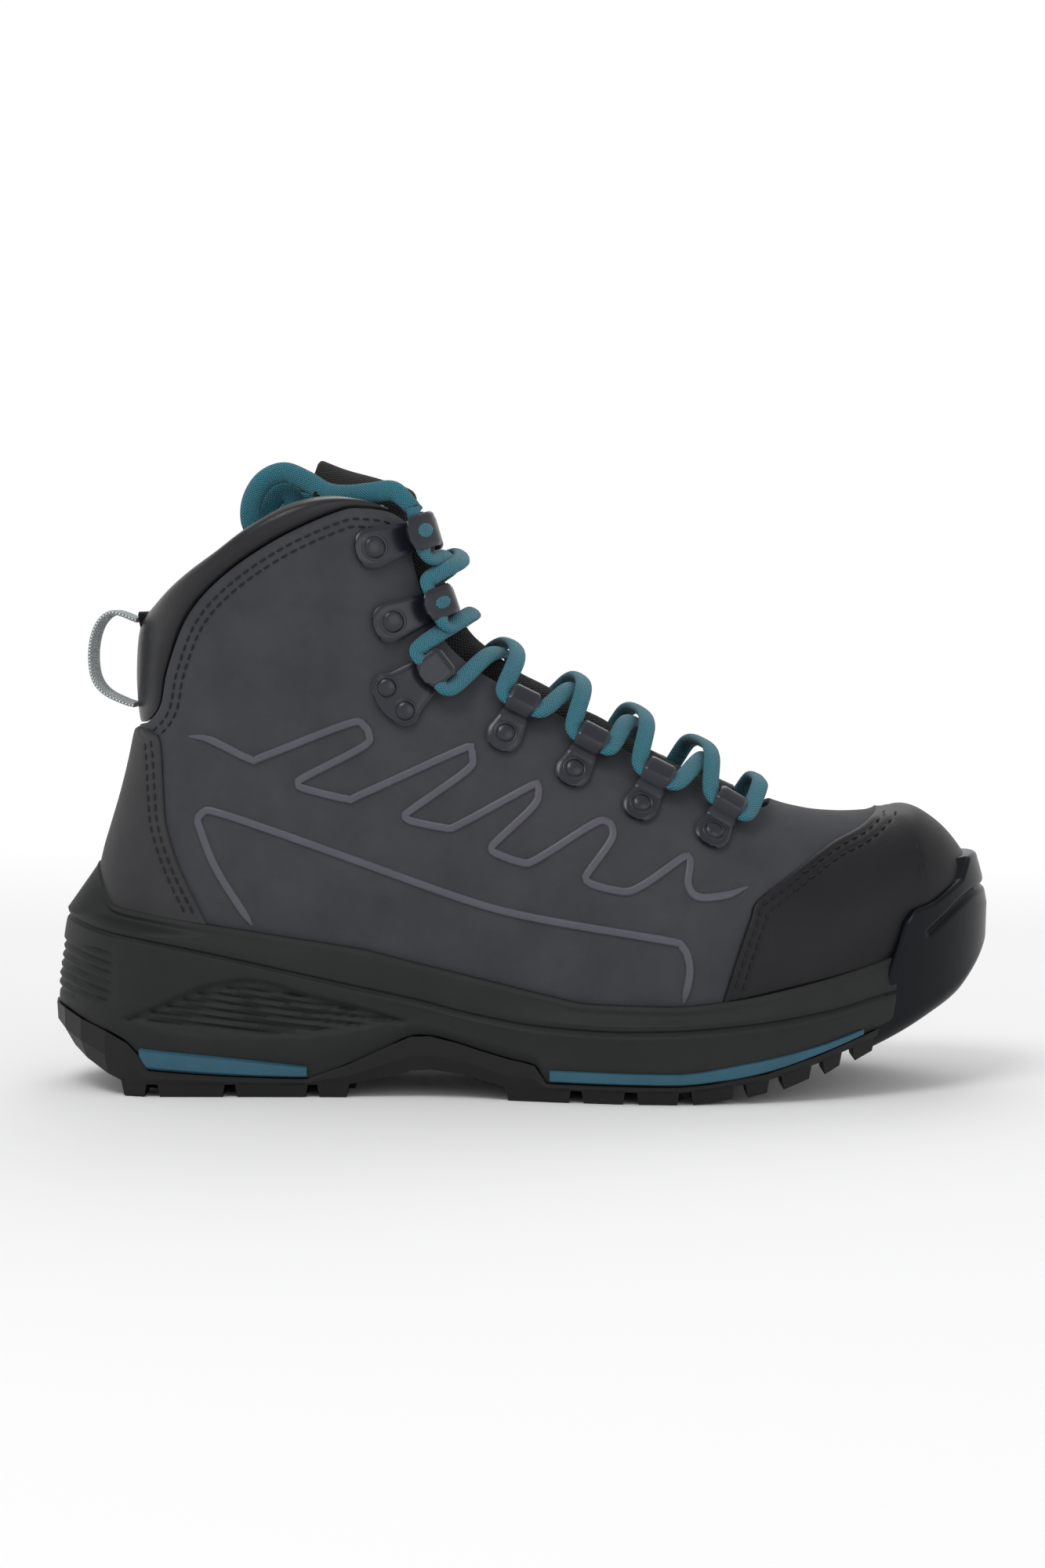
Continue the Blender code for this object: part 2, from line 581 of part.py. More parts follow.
def toe_core(grow, snug):
    """The last in the toe, grown by snug, over the midsole's front, grown by grow."""
    stations = 1 - (1 - np.linspace(0, 1, 12)) ** 2
    start = place_x(0.80)

    def loop(level, out):
        x, front = np.full(12, start), None
        for _ in range(6):
            z = level(x)
            front = tip_x(z)
            x = start + (front - start) * stations
        width = half_width(x, z)
        width[-1] = 0
        ring = both_sides(x, width, z)
        return ring + plan_normals(ring) * out

    wide = BUMPER_CORE + grow
    under = lambda x: np.minimum(line_z(FEATHER, x) - 3, line_z(BUMPER_FOOT, x) + 4) - grow
    return stack([loop(under, wide),
                  loop(lambda x: line_z(FEATHER, x) + 0.4 + grow, wide),
                  loop(lambda x: line_z(FEATHER, x) + 1.6 + grow, snug),
                  *[loop(lambda x: place_z(height) + 0 * x, snug)
                    for height in (0.27, 0.30, 0.33, 0.36, 0.385, 0.41)]])


def heel_share(x):
    """1 at the back of the heel, 0 from a fifth of the way forward."""
    share = np.clip(1 - (x / LENGTH + 0.5) / 0.09, 0, 1)
    return share * share * (3 - 2 * share)


def make_midsole():
    x = SOLE_X
    heel = heel_share(x)
    low, groove = line_z(OUTSOLE_TOP, x) + GAP, line_z(SOLE_GROOVE, x)
    top = lambda at: line_z(SOLE_TOP, at)
    floor = lambda at: line_z(FEATHER, at) - GAP
    levels = [sole_loop(1.6 + 0.4 * heel, low),
              sole_loop(0.4 + 1.2 * heel, low + 0.25 * (groove - low)),
              sole_loop(0.2 + 4.3 * heel, groove - 1.2),
              sole_loop(1.4 + 4.3 * heel, groove),
              sole_loop(1.0 + 4.0 * heel, groove + 1.2),
              last_loop(LIP + 0.8, lambda at: top(at) - 1.6),
              last_loop(LIP, top),
              last_loop(LAST_FIT, top)]
    levels += [last_loop(LAST_FIT, lambda at: top(at) + share * (floor(at) - top(at)))
               for share in (0.2, 0.45, 0.75, 1.0)]
    midsole = part("midsole", *stack(levels), "midsole")
    above = lambda at, line: line - SLOT_TALL / 2
    below = lambda at, line: line_z(OUTSOLE_TOP, at) - 1.0
    for side in (-1, 1):
        for row, (from_x, to_x, from_z, to_z) in enumerate(HEEL_SLOTS):
            shape = band(((from_x, from_z), (to_x, to_z)), side, -2.0, SLOT_DEEP, above,
                         SLOT_TALL, 7)
            boolean(midsole, cutter(f"slot_{row}_{side + 1}", *shape), "DIFFERENCE")
        for row, strip in enumerate((HEEL_STRIP, FORE_STRIP)):
            shape = band(strip, side, -3.0, STRIP_DEPTH + STRIP_FIT, below, None, 11, STRIP_FIT)
            boolean(midsole, cutter(f"strip_{row}_{side + 1}", *shape), "DIFFERENCE")
    front = cutter("bumper_room", *prism(bumper_prism(GAP)))
    boolean(front, cutter("toe_core", *toe_core(0.0, -1.0)), "DIFFERENCE")
    boolean(midsole, front, "DIFFERENCE")


def band(table, side, out, depth, bottom, tall=None, count=8, grow=0.0):
    """A strip along the sole's side under a line of the side view, as a four-cornered sweep.

    out is the inset of its face, minus for proud, depth how deep it reaches, bottom(x, z)
    its lower edge, and tall its height where it doesn't run up to the line.
    """
    ends = place_x(np.array([table[0][0], table[-1][0]])) + np.array([-grow, grow])
    x = np.linspace(ends[0], ends[1], count)
    line = line_z(table, x)
    low = bottom(x, line)
    high = low + tall if tall else line + grow
    loops = [sole_loop(inset, z, x) for inset, z in
             ((out, low), (out, high), (depth, high), (depth, low))]
    pick = slice(0, count) if side < 0 else slice(count, None)
    return sweep(np.stack([loop[pick] for loop in loops], 1))


def make_strips():
    for name, table in (("heel_strip", HEEL_STRIP), ("forefoot_strip", FORE_STRIP)):
        for label, side in (("outer", -1), ("inner", 1)):
            shape = band(table, side, -STRIP_PROUD, STRIP_DEPTH,
                         lambda at, line: line_z(OUTSOLE_TOP, at) + 2 * GAP, None, 11)
            part(f"{name}_{label}", *shape, "accent")


def tread_blocks():
    """Every block of the tread, its foot LUG_DEPTH under the root and its head sunk in."""
    blocks = []
    for row, (start, end) in enumerate(TREAD_ROWS):
        for column, (near, far) in enumerate(TREAD_COLUMNS):
            inner = column in (1, 2)
            shift = STAGGER * (0.5 if inner else 0.0)
            x = place_x(np.array([start, end]) + shift)
            corners = [(x[0], near), (x[1], near), (x[1], far), (x[0], far)]
            rings = []
            for lift, shrink in ((-LUG_DEPTH, 0.8), (0.8, 0.0)):
                ring = []
                for (at, across), (dx, dy) in zip(corners, ((1, 1), (-1, 1), (-1, -1), (1, -1))):
                    y = spine(at) + across * sole_half(at)
                    ring.append((at + dx * shrink, y + dy * shrink, line_z(TREAD_ROOT, at) + lift))
                rings.append(ring)
            blocks.append(sweep(rings))
    return join_meshes(blocks)


def make_outsole():
    x = SOLE_X
    heel = heel_share(x)
    root, top = line_z(TREAD_ROOT, x), line_z(OUTSOLE_TOP, x)
    levels = [sole_loop(1.6 + 3.0 * heel, root),
              sole_loop(0.6 + 0.6 * heel, root + 0.45 * (top - root)),
              sole_loop(0.9, top)]
    outsole = part("outsole", *stack(levels), "rubber")
    boolean(outsole, cutter("tread", *tread_blocks()), "UNION")
    boolean(outsole, cutter("outsole_front", *prism(bumper_prism(GAP))), "DIFFERENCE")


def make_bumper():
    x = SOLE_X[SOLE_X > place_x(0.70)]
    loops = []
    for inset, lift, share in ((8.0, 0.0, 0.0), (2.6, 3.0, 0.0), (0.4, 0.0, 0.24),
                               (0.0, 0.0, 0.31), (1.6, 0.0, 0.36), (4.2, 0.0, 0.408)):
        loop = sole_loop(inset, x, x)
        foot = line_z(BUMPER_FOOT, loop[:, 0]) + lift
        loop[:, 2] = np.maximum(place_z(share), foot + 2) if share else foot
        loops.append(loop)
    bumper = part("toe_bumper", *stack(loops), "bumper")
    boolean(bumper, cutter("bumper_shape", *prism(bumper_prism())), "INTERSECT")
    boolean(bumper, cutter("toe_room", *toe_core(GAP, LAST_FIT)), "DIFFERENCE")


def make_insole():
    low = last_loop(-WALL - INSOLE_FIT, lambda at: line_z(FEATHER, at))
    high = last_loop(-WALL - 0.7 * INSOLE_FIT, lambda at: line_z(FEATHER, at) + INSOLE_THICK)
    part("insole", *stack([low, high]), "lining")


# Upper

def upper_surface(name, out, thick, around, up, span=(0.0, 1.0)):
    """The upper's outside moved out along its normals, as an open surface with Solidify.

    span keeps a share of its columns, from heel to toe.
    """
    grid = upper_grid(around, up)
    x, z = grid[..., 0], grid[..., 1]
    sides = []
    for side in (-1, 1):
        points = on_upper(np.clip(x[1:-1], -LENGTH, LENGTH), z[1:-1], side, np.full(x[1:-1].shape, out))
        sides.append(points)
    edge = silhouette_points(grid, out)
    lateral = np.concatenate([edge[:1], sides[0], edge[1:]])
    medial = np.concatenate([edge[:1], sides[1], edge[1:]])
    rows = up + 1
    faces = []
    for start, turn in ((0, 1), (lateral.shape[0] * rows, -1)):
        for i in range(int(span[0] * around), int(span[1] * around)):
            for j in range(up):
                quad = [start + i * rows + j, start + (i + 1) * rows + j,
                        start + (i + 1) * rows + j + 1, start + i * rows + j + 1]
                faces.append(quad[::turn])
    points = np.concatenate([lateral, medial]).reshape(-1, 3)
    used = sorted({k for face in faces for k in face})
    renumber = {k: place for place, k in enumerate(used)}
    faces = [[renumber[k] for k in face] for face in faces]
    obj = from_faces(name, points[used], faces, None, "cutters")
    shell = obj.modifiers.new("Wall", "SOLIDIFY")
    shell.thickness = thick * MM
    shell.offset = -1
    return obj


def silhouette_points(grid, out):
    """The two centre lines, heel and toe, moved out along the side view's outline."""
    lines = []
    for row, turn in ((grid[0], 1), (grid[-1], -1)):
        along = np.gradient(row, axis=0)
        normal = np.stack([-along[:, 1], along[:, 0]], -1) * turn
        normal /= np.linalg.norm(normal, axis=1, keepdims=True)
        moved = row + normal * out
        lines.append(np.stack([moved[:, 0], spine(row[:, 0]), moved[:, 1]], -1))
    return np.array(lines)


def keep(obj, name, look):
    """Turns a helper surface into a part."""
    bpy.data.collections["cutters"].objects.unlink(obj)
    bpy.data.collections["wading_boot"].objects.link(obj)
    obj.name = name
    obj.hide_render = False
    obj.display_type = "TEXTURED"
    obj.data.materials.append(material(look))
    obj.data.shade_smooth()
    return obj


def make_upper():
    keep(upper_surface("upper", 0.0, WALL, 32, 10), "upper", "nubuck")


def make_overlays():
    seam = [(place_x(a), place_z(b)) for a, b in CAP_SEAM]
    cap = seam + [(place_x(1.1), place_z(0.52)), (place_x(1.1), place_z(0.16))]
    seam = [(place_x(a), place_z(b)) for a, b in COUNTER_SEAM]
    counter = [(place_x(-0.1), place_z(0.612)), (place_x(0.098), place_z(0.612))] + seam[1:]
    counter += [(place_x(-0.1), place_z(0.27))]
    cuts = (("toe_cap", cap, "overlay", (0.5, 1.0)), ("heel_counter", counter, "counter", (0.0, 0.5)))
    for name, outline, look, span in cuts:
        shell = keep(upper_surface(name, 1.5 * GAP + OVERLAY, OVERLAY, 32, 10, span), name, look)
        boolean(shell, cutter(name + "_outline", *prism(outline)), "INTERSECT")
        boolean(shell, cutter(name + "_sole", *sole_room()), "DIFFERENCE")


def sole_room():
    """Everything below the sole's top edge and behind the bumper's, which the overlays stop at."""
    x = place_x(0.05 + 0.88 * np.linspace(0, 1, 70) ** 2)
    lips = [last_loop(grow, lambda at: line_z(SOLE_TOP, at))[:len(SOLE_X)]
            for grow in (LAST_FIT, LIP, LIP + 0.8)]
    height = np.max([np.interp(x, lip[:, 0], lip[:, 2]) for lip in lips], axis=0)
    line = np.stack([x, height + 2 * GAP], -1)
    edge = np.array([(place_x(a), place_z(b) + GAP) for a, b in BUMPER_EDGE[1:]])
    line = line[line[:, 0] < edge[0, 0] - 1]
    outline = [(place_x(-0.1), -9.0), (place_x(-0.1), line[0, 1])] + [tuple(p) for p in line]
    outline += [tuple(p) for p in edge] + [(place_x(1.2), edge[-1, 1]), (place_x(1.2), -9.0)]
    return prism(outline)


# Collar, tongue and loop

def make_collar():
    """The padded rim: over the quarters' edge outside, round the top and down inside."""
    share = 1 - (1 - np.linspace(0, 1, 14)) ** 1.6
    low_line, top_line = side_line(QUARTER_EDGE)[::-1], side_line(RIM)[::-1]
    low_line = low_line[low_line[:, 0] < place_x(COLLAR_FRONT)]
    top_line = top_line[top_line[:, 0] < place_x(COLLAR_FRONT)]
    low, top = even(low_line, share), even(top_line, share)
    along = np.gradient(low, axis=0)
    lift = np.stack([along[:, 1], -along[:, 0]], -1) / np.linalg.norm(along, axis=1)[:, None]
    rows = ((low + lift * 3 * GAP, -0.3), (low * 0.5 + top * 0.5, 1.0), (low * 0.1 + top * 0.9, 0.2),
            (top, -0.4 * COLLAR_PAD), (low * 0.1 + top * 0.9, -COLLAR_PAD),
            (low - (0, 3), -COLLAR_PAD - 1.0), (low - (0, COLLAR_DEPTH), -0.8 * COLLAR_PAD),
            (low - (0, COLLAR_DEPTH), -WALL - 0.6), (low + lift * 3 * GAP, -WALL - 0.6))
    rings = []
    for line, out in rows:
        shift = heel_x(line[:, 1]) - heel_x(low[:, 1]) if line is not top else 0
        x = np.maximum(line[:, 0] + shift * (line[:, 1] < low[:, 1]), heel_x(line[:, 1]))
        width = half_width(x, line[:, 1])
        width[-1] = 0
        lateral = np.stack([x, spine(x) - width, line[:, 1]], -1)
        medial = np.stack([x, spine(x) + width, line[:, 1]], -1)[::-1][1:]
        path = np.vstack([lateral, medial])
        flat = np.gradient(path[:, :2], axis=0)
        flat /= np.linalg.norm(flat, axis=1, keepdims=True)
        path[:, :2] += np.stack([-flat[:, 1], flat[:, 0]], -1) * out
        rings.append(path)
    part("collar", *sweep(np.stack(rings, 1)), "lining")


def beside_ridge(share, y):
    """Points of the last's surface straight in from shares along the ridge, y to the side."""
    point = even(RIDGE_PATH, share)
    along = even(RIDGE_PATH, np.minimum(share + 0.01, 1)) - even(RIDGE_PATH, np.maximum(share - 0.01, 0))
    inward = np.stack([along[:, 1], -along[:, 0]], -1)
    inward /= np.linalg.norm(inward, axis=1, keepdims=True)
    low, high = np.zeros_like(share), HEIGHT * smooth(RIDGE_ROUND, 1, share)
    for _ in range(30):
        mid = (low + high) / 2
        at = point + inward * mid[:, None]
        short = half_width(at[:, 0], at[:, 1]) < np.abs(y)
        low, high = np.where(short, mid, low), np.where(short, high, mid)
    at = point + inward * low[:, None]
    return np.stack([at[:, 0], spine(at[:, 0]) + y, at[:, 1]], -1)


def over_instep(share, y, out):
    """Points beside the ridge at shares along it, y to the side and out from the last."""
    share, y, out = np.broadcast_arrays(*(np.atleast_1d(np.asarray(v, float))
                                          for v in (share, y, out)))
    along = beside_ridge(share + 0.006, y) - beside_ridge(share - 0.006, y)
    across = beside_ridge(share, y + 0.8) - beside_ridge(share, y - 0.8)
    normal = np.cross(along, across)
    normal /= np.linalg.norm(normal, axis=1, keepdims=True)
    return beside_ridge(share, y) + normal * out[:, None]


def make_tongue():
    """A padded sheet under the throat that runs out at the top and leans back."""
    shares = np.linspace(TONGUE_START, TONGUE_TURN, 15)
    across = np.linspace(-1, 1, 9)
    rings = []
    for share in shares:
        open_part = np.clip((0.52 - share) / 0.08, 0, 1)
        half = TONGUE_WIDTH / 2 * (0.86 + 0.14 * np.clip(share / 0.3, 0, 1))
        crown = open_part * 1.8 * (1 - across**2) ** 2
        outer = over_instep(share, across * half, -WALL - TONGUE_FIT + crown)
        inner = over_instep(share, across * (half - 0.8),
                            -WALL - TONGUE_FIT - TONGUE_THICK * (1 - 0.5 * across**4))
        rings.append(np.vstack([outer, inner[::-1]]))
    last = rings[-1]
    centre = last.mean(0)
    for x, z, turn, squeeze in TONGUE_TOP:
        angle = math.radians(turn)
        ring = (last - centre) * (1.0, squeeze, 1.0)
        turned = np.stack([ring[:, 0] * math.cos(angle) - ring[:, 2] * math.sin(angle), ring[:, 1],
                           ring[:, 0] * math.sin(angle) + ring[:, 2] * math.cos(angle)], -1)
        rings.append(turned + (place_x(x), centre[1], place_z(z)))
    part("tongue", *sweep(rings), "lining")


def make_pull_loop():
    """Webbing that stands out from the collar's back and returns to it lower down."""
    path = spline([(place_x(x), place_z(z)) for x, z in PULL_LOOP], 3)
    along = np.gradient(path, axis=0)
    normal = np.stack([-along[:, 1], along[:, 0]], -1)
    normal /= np.linalg.norm(normal, axis=1, keepdims=True)
    rings = []
    for at, off in zip(path, normal * WEBBING / 2):
        rings.append([(at[0] + side * off[0], y, at[1] + side * off[1])
                      for side, y in ((-1, -WEBBING_WIDTH / 2), (-1, WEBBING_WIDTH / 2),
                                      (1, WEBBING_WIDTH / 2), (1, -WEBBING_WIDTH / 2))])
    part("pull_loop", *sweep(rings), "webbing")


# Hardware

def seat(x, z, turn, side):
    """A frame on the upper: its point, the long axis at a side-view angle, and the cross axis."""
    point = on_upper(x, z, side)
    step = 0.5 * np.array([math.cos(math.radians(turn)), math.sin(math.radians(turn))])
    ahead = on_upper(x + step[0], z + step[1], side)
    long_axis = (ahead - point) / np.linalg.norm(ahead - point)
    normal = on_upper(x, z, side, 1.0) - point
    cross_axis = np.cross(normal, long_axis) * -side
    return point, long_axis, cross_axis


def seated(frame, side, along, across, out):
    """Points at (along, across) in a seat's frame, laid on the upper and moved out."""
    point, long_axis, cross_axis = frame
    at = point + np.outer(along, long_axis) + np.outer(across, cross_axis)
    return on_upper(at[:, 0], at[:, 2], side, np.asarray(out, float))


def bent_strip(frame, side, rows):
    """A sheet strip from rows (along, height of its middle, half width)."""
    rows = np.array(rows, float)
    direction = np.gradient(rows[:, :2], axis=0)
    direction /= np.linalg.norm(direction, axis=1, keepdims=True)
    off = np.stack([-direction[:, 1], direction[:, 0]], -1) * METAL / 2
    rings = []
    for (along, height, half), (da, dh) in zip(rows, off):
        rings.append(seated(frame, side, [along - da, along - da, along + da, along + da],
                            [-half, half, half, -half],
                            [height - dh, height - dh, height + dh, height + dh]))
    return sweep(rings)


def add_rivet(obj, frame, side, along, across):
    """A domed rivet head joined to its plate."""
    centre = seated(frame, side, [along], [across], [SEAT + METAL * 0.6])[0]
    tip = seated(frame, side, [along], [across], [SEAT + METAL + 1.0])[0]
    axis = (tip - centre) / np.linalg.norm(tip - centre)
    one = np.cross(axis, (0.0, 0.0, 1.0))
    one /= np.linalg.norm(one)
    two = np.cross(axis, one)
    turns = np.linspace(0, 2 * math.pi, 10, endpoint=False)
    rings = [[centre + axis * rise + (one * math.cos(t) + two * math.sin(t)) * radius for t in turns]
             for rise, radius in ((0.0, RIVET / 2), (METAL * 0.8, RIVET / 2),
                                  (METAL + 0.5, RIVET * 0.36), (METAL + 0.8, RIVET * 0.12))]
    boolean(obj, cutter(obj.name + "_rivet" + str(len(obj.modifiers)), *sweep(rings)), "UNION")


def make_tabs():
    flat = SEAT + METAL / 2
    high = flat + TUNNEL
    half = TAB_WIDE / 2
    rows = ((-5.0, flat, 2.2), (-3.6, flat, 3.5), (-1.0, flat, half), (3.0, flat, half),
            (5.6, flat + 1.2, half), (6.6, 0.7 * high, half), (8.2, high, half),
            (TAB_LONG - 6.0, high, half), (TAB_LONG - 4.4, 0.7 * high, half),
            (TAB_LONG - 4.0, flat, half))
    for name, x, z, turn in TABS:
        for label, side in (("outer", -1), ("inner", 1)):
            frame = seat(place_x(x), place_z(z), turn, side)
            tab = part(f"lace_tab_{name}_{label}", *bent_strip(frame, side, rows), "hardware")
            add_rivet(tab, frame, side, 0.0, 0.0)


def make_hooks():
    flat = SEAT + METAL / 2
    half = HOOK_WIDE / 2
    end = HOOK_LONG - 3.0
    rows = ((-5.0, flat, 2.6), (-3.2, flat, 4.4), (0.0, flat, half), (6.0, flat, half),
            (end - 4.0, flat, half), (end - 1.0, flat + 0.7, half), (end + 0.4, flat + 2.4, half),
            (end - 0.6, flat + HOOK_RISE - 0.8, half), (end - 3.0, flat + HOOK_RISE, half),
            (end - 6.5, flat + HOOK_RISE, half), (end - 8.5, flat + HOOK_RISE, 0.6 * half))
    for name, x, z, turn in HOOKS:
        for label, side in (("outer", -1), ("inner", 1)):
            frame = seat(place_x(x), place_z(z), turn, side)
            hook = part(f"{name}_hook_{label}", *bent_strip(frame, side, rows), "hardware")
            add_rivet(hook, frame, side, 0.0, 0.0)


# Laces

def lace_gates(row, side):
    """Where the lace goes in at the toe's end of a tab or hook and comes out at the other."""
    if row < len(TABS):
        _, x, z, turn = TABS[len(TABS) - 1 - row]
        along, reach, out = TAB_LONG - 7.4, TAB_WIDE / 2 + 2.2, SEAT + METAL + 2.4
    else:
        _, x, z, turn = HOOKS[row - len(TABS)]
        along, reach, out = HOOK_LONG - 7.0, HOOK_WIDE / 2 + 2.6, SEAT + METAL + 2.9
    frame = seat(place_x(x), place_z(z), turn, side)
    gates = [seated(frame, side, [along], [across], [out])[0] for across in (reach, -reach)]
    return sorted(gates, key=lambda gate: gate[2] - gate[0])


def tube(name, points, look="lace"):
    curve = bpy.data.curves.new(name, "CURVE")
    curve.dimensions = "3D"
    curve.bevel_depth = LACE / 2 * MM
    curve.bevel_resolution = 2
    curve.use_fill_caps = True
    line = curve.splines.new("POLY")
    line.points.add(len(points) - 1)
    for spot, point in zip(line.points, points):
        spot.co = (*(point * MM), 1.0)
    curve.materials.append(material(look))
    obj = bpy.data.objects.new(name, curve)
    bpy.data.collections["wading_boot"].objects.link(obj)
    return obj


def as_mesh(obj, group):
    """A curve made a closed mesh, so that it can be joined."""
    graph = bpy.context.evaluated_depsgraph_get()
    mesh = bpy.data.meshes.new_from_object(obj.evaluated_get(graph))
    name = obj.name
    bpy.data.objects.remove(obj, do_unlink=True)
    closing = bmesh.new()
    closing.from_mesh(mesh)
    bmesh.ops.remove_doubles(closing, verts=closing.verts, dist=1e-6)
    bmesh.ops.recalc_face_normals(closing, faces=closing.faces)
    closing.to_mesh(mesh)
    closing.free()
    mesh.name = name
    return add_object(name, mesh, None if group == "cutters" else "lace", group)


def crossing_path(start, end, share, out):
    """From one gate over the instep's middle to another."""
    middle = over_instep(share, 0.0, out)[0]
    quarters = []
    for gate in (start, end):
        y = (gate[1] - spine(gate[0])) * 0.5
        at = 0.5 * (gate + middle)
        lift = over_instep(nearest_share(at), y, out + LACE_LIFT)[0]
        quarters.append(lift)
    return spline([start, quarters[0], middle, quarters[1], end], 3)


def nearest_share(at):
    gap = np.hypot(RIDGE_PATH[:, 0] - at[0], RIDGE_PATH[:, 1] - at[2])
    return RIDGE_RUN[gap.argmin()] / RIDGE_RUN[-1]


def make_laces():
    bpy.context.view_layer.update()
    gates = {(row, side): lace_gates(row, side)
             for row in range(len(TABS) + len(HOOKS)) for side in (-1, 1)}
    ends = [gates[0, side][0] for side in (-1, 1)]
    share = nearest_share((ends[0] + ends[1]) / 2)
    as_mesh(tube("lace_bar", crossing_path(*ends, share, LACE_OUT + 2.0)), "wading_boot")
    for row in range(len(TABS) + len(HOOKS) - 1):
        strands = []
        for side, out in ((-1, LACE_OUT), (1, LACE_OUT + 0.5 * LACE)):
            start, end = gates[row, side][1], gates[row + 1, -side][0]
            share = nearest_share((start + end) / 2)
            strands.append((start, end, share, out))
        over = as_mesh(tube(f"lace_strand_{row + 1}", crossing_path(*strands[1])), "cutters")
        under = as_mesh(tube(f"lace_crossing_{row + 1}", crossing_path(*strands[0])), "wading_boot")
        boolean(under, over, "UNION")


def make_lace_ends():
    """The two free ends: back along the rim from the top hooks and down into the mouth."""
    for label, side, route in (("outer", -1, LACE_END_OUTER), ("inner", 1, LACE_END_INNER)):
        start = lace_gates(len(TABS) + len(HOOKS) - 1, side)[1]
        points = [start] + [np.array([place_x(x), y, place_z(z)]) for x, y, z in route]
        tube(f"lace_end_{label}", spline(points, 4))


# Run

def main():
    clear_scene()
    collection("wading_boot")
    collection("cutters")
    make_outsole()
    make_midsole()
    make_strips()
    make_bumper()
    make_insole()
    make_upper()
    make_overlays()
    make_collar()
    make_tongue()
    make_pull_loop()
    make_tabs()
    make_hooks()
    make_laces()
    make_lace_ends()


main()
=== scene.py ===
"""Wading boot: the looks of every piece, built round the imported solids.

The last is the same height field over the side view as in the part's source: at (x, z) the
upper's wall lies at y = spine(x) +- half_width(x, z). Sizes are millimetres and become metres
where a mesh is made. Tables hold shares of LENGTH and HEIGHT.
"""
import math

import bmesh
import bpy
import numpy as np
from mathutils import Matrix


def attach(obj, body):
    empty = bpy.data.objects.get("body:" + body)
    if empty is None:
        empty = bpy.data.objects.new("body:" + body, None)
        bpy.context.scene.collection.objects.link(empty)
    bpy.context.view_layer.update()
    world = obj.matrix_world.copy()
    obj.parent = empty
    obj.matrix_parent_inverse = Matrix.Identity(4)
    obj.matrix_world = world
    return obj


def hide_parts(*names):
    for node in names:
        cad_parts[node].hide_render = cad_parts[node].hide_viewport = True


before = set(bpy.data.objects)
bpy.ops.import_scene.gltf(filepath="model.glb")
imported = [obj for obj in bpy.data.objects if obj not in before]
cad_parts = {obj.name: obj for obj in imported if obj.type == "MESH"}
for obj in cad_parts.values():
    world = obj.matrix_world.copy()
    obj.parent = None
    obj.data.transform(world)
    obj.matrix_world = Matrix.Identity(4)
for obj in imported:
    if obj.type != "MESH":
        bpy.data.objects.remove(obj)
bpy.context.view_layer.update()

bl_info = {
    "name": "Wading boot looks",
    "version": (1, 0, 0),
    "blender": (4, 5, 0),
    "location": "View3D > Sidebar > Boot",
    "description": "Builds the surfaces, lace and stage of a wading boot round its solids",
    "category": "Object",
}

# Driving sizes, in millimetres
LENGTH = 299.0          # sole, heel to toe
HEIGHT = 185.0          # floor to the top of the rim
BALL_WIDTH = 107.6      # sole at the ball
HEEL_WIDTH = 78.0       # sole at the heel
LAST_BALL = 98.4        # outside of the upper at the ball
LAST_HEEL = 68.0        # outside of the upper at the heel
SIDEWAYS = 6.0          # how far the toe swings to the inner side

WALL = 2.6              # upper
OVERLAY = 1.3           # toe cap and heel counter
GAP = 0.3               # between pieces that touch
LAST_FIT = 0.5          # between the upper and the sole round it
LIP = 2.0               # midsole's edge against the upper
COLLAR_PAD = 8.0
COLLAR_DEPTH = 16.0     # how far the collar's pad reaches down inside
TONGUE_WIDTH = 54.0
TONGUE_THICK = 4.5
TONGUE_FIT = 1.3        # room between the tongue and the wall over it
STRIP_DEPTH = 2.6       # coloured sole strips
STRIP_PROUD = 0.4
RIVET = 7.0             # diameter
LACE = 4.0              # diameter
WEBBING = 1.6           # pull loop's thickness
WEBBING_WIDTH = 20.0

MM = 0.001

# Side view: lines as (share of LENGTH, share of HEIGHT)
RIDGE = ((0.386, 1.027), (0.408, 0.951), (0.425, 0.876), (0.441, 0.811), (0.473, 0.751),
         (0.517, 0.705), (0.567, 0.657), (0.634, 0.596), (0.701, 0.542), (0.759, 0.492),
         (0.801, 0.472), (0.834, 0.467), (0.861, 0.470), (0.885, 0.479), (0.911, 0.489),
         (0.945, 0.482), (0.975, 0.471), (1.022, 0.454))
HEEL_BACK = ((0.069, 0.162), (0.065, 0.205), (0.057, 0.270), (0.054, 0.324), (0.056, 0.368),
             (0.060, 0.400), (0.069, 0.449), (0.077, 0.492), (0.084, 0.535), (0.090, 0.578),
             (0.094, 0.616), (0.096, 0.676), (0.097, 0.795), (0.100, 0.865), (0.110, 1.027))
TOE_FRONT = ((0.967, 0.184), (0.975, 0.227), (0.982, 0.270), (0.984, 0.324), (0.983, 0.368),
             (0.980, 0.411), (0.975, 0.486))
QUARTER_EDGE = ((0.094, 0.616), (0.107, 0.622), (0.123, 0.651), (0.132, 0.714), (0.155, 0.801),
                (0.193, 0.867), (0.250, 0.929), (0.312, 0.975), (0.336, 0.981), (0.363, 0.976),
                (0.380, 0.961))
THROAT_EDGE = ((0.380, 0.961), (0.388, 0.892), (0.403, 0.811), (0.425, 0.752), (0.458, 0.707),
               (0.502, 0.668), (0.570, 0.609), (0.636, 0.553), (0.700, 0.504), (0.735, 0.482),
               (0.756, 0.478), (0.766, 0.488))
RIM = ((0.095, 0.805), (0.109, 0.824), (0.130, 0.853), (0.154, 0.881), (0.183, 0.911),
       (0.219, 0.951), (0.261, 0.985), (0.301, 1.000), (0.336, 0.998), (0.360, 0.985),
       (0.380, 0.968))
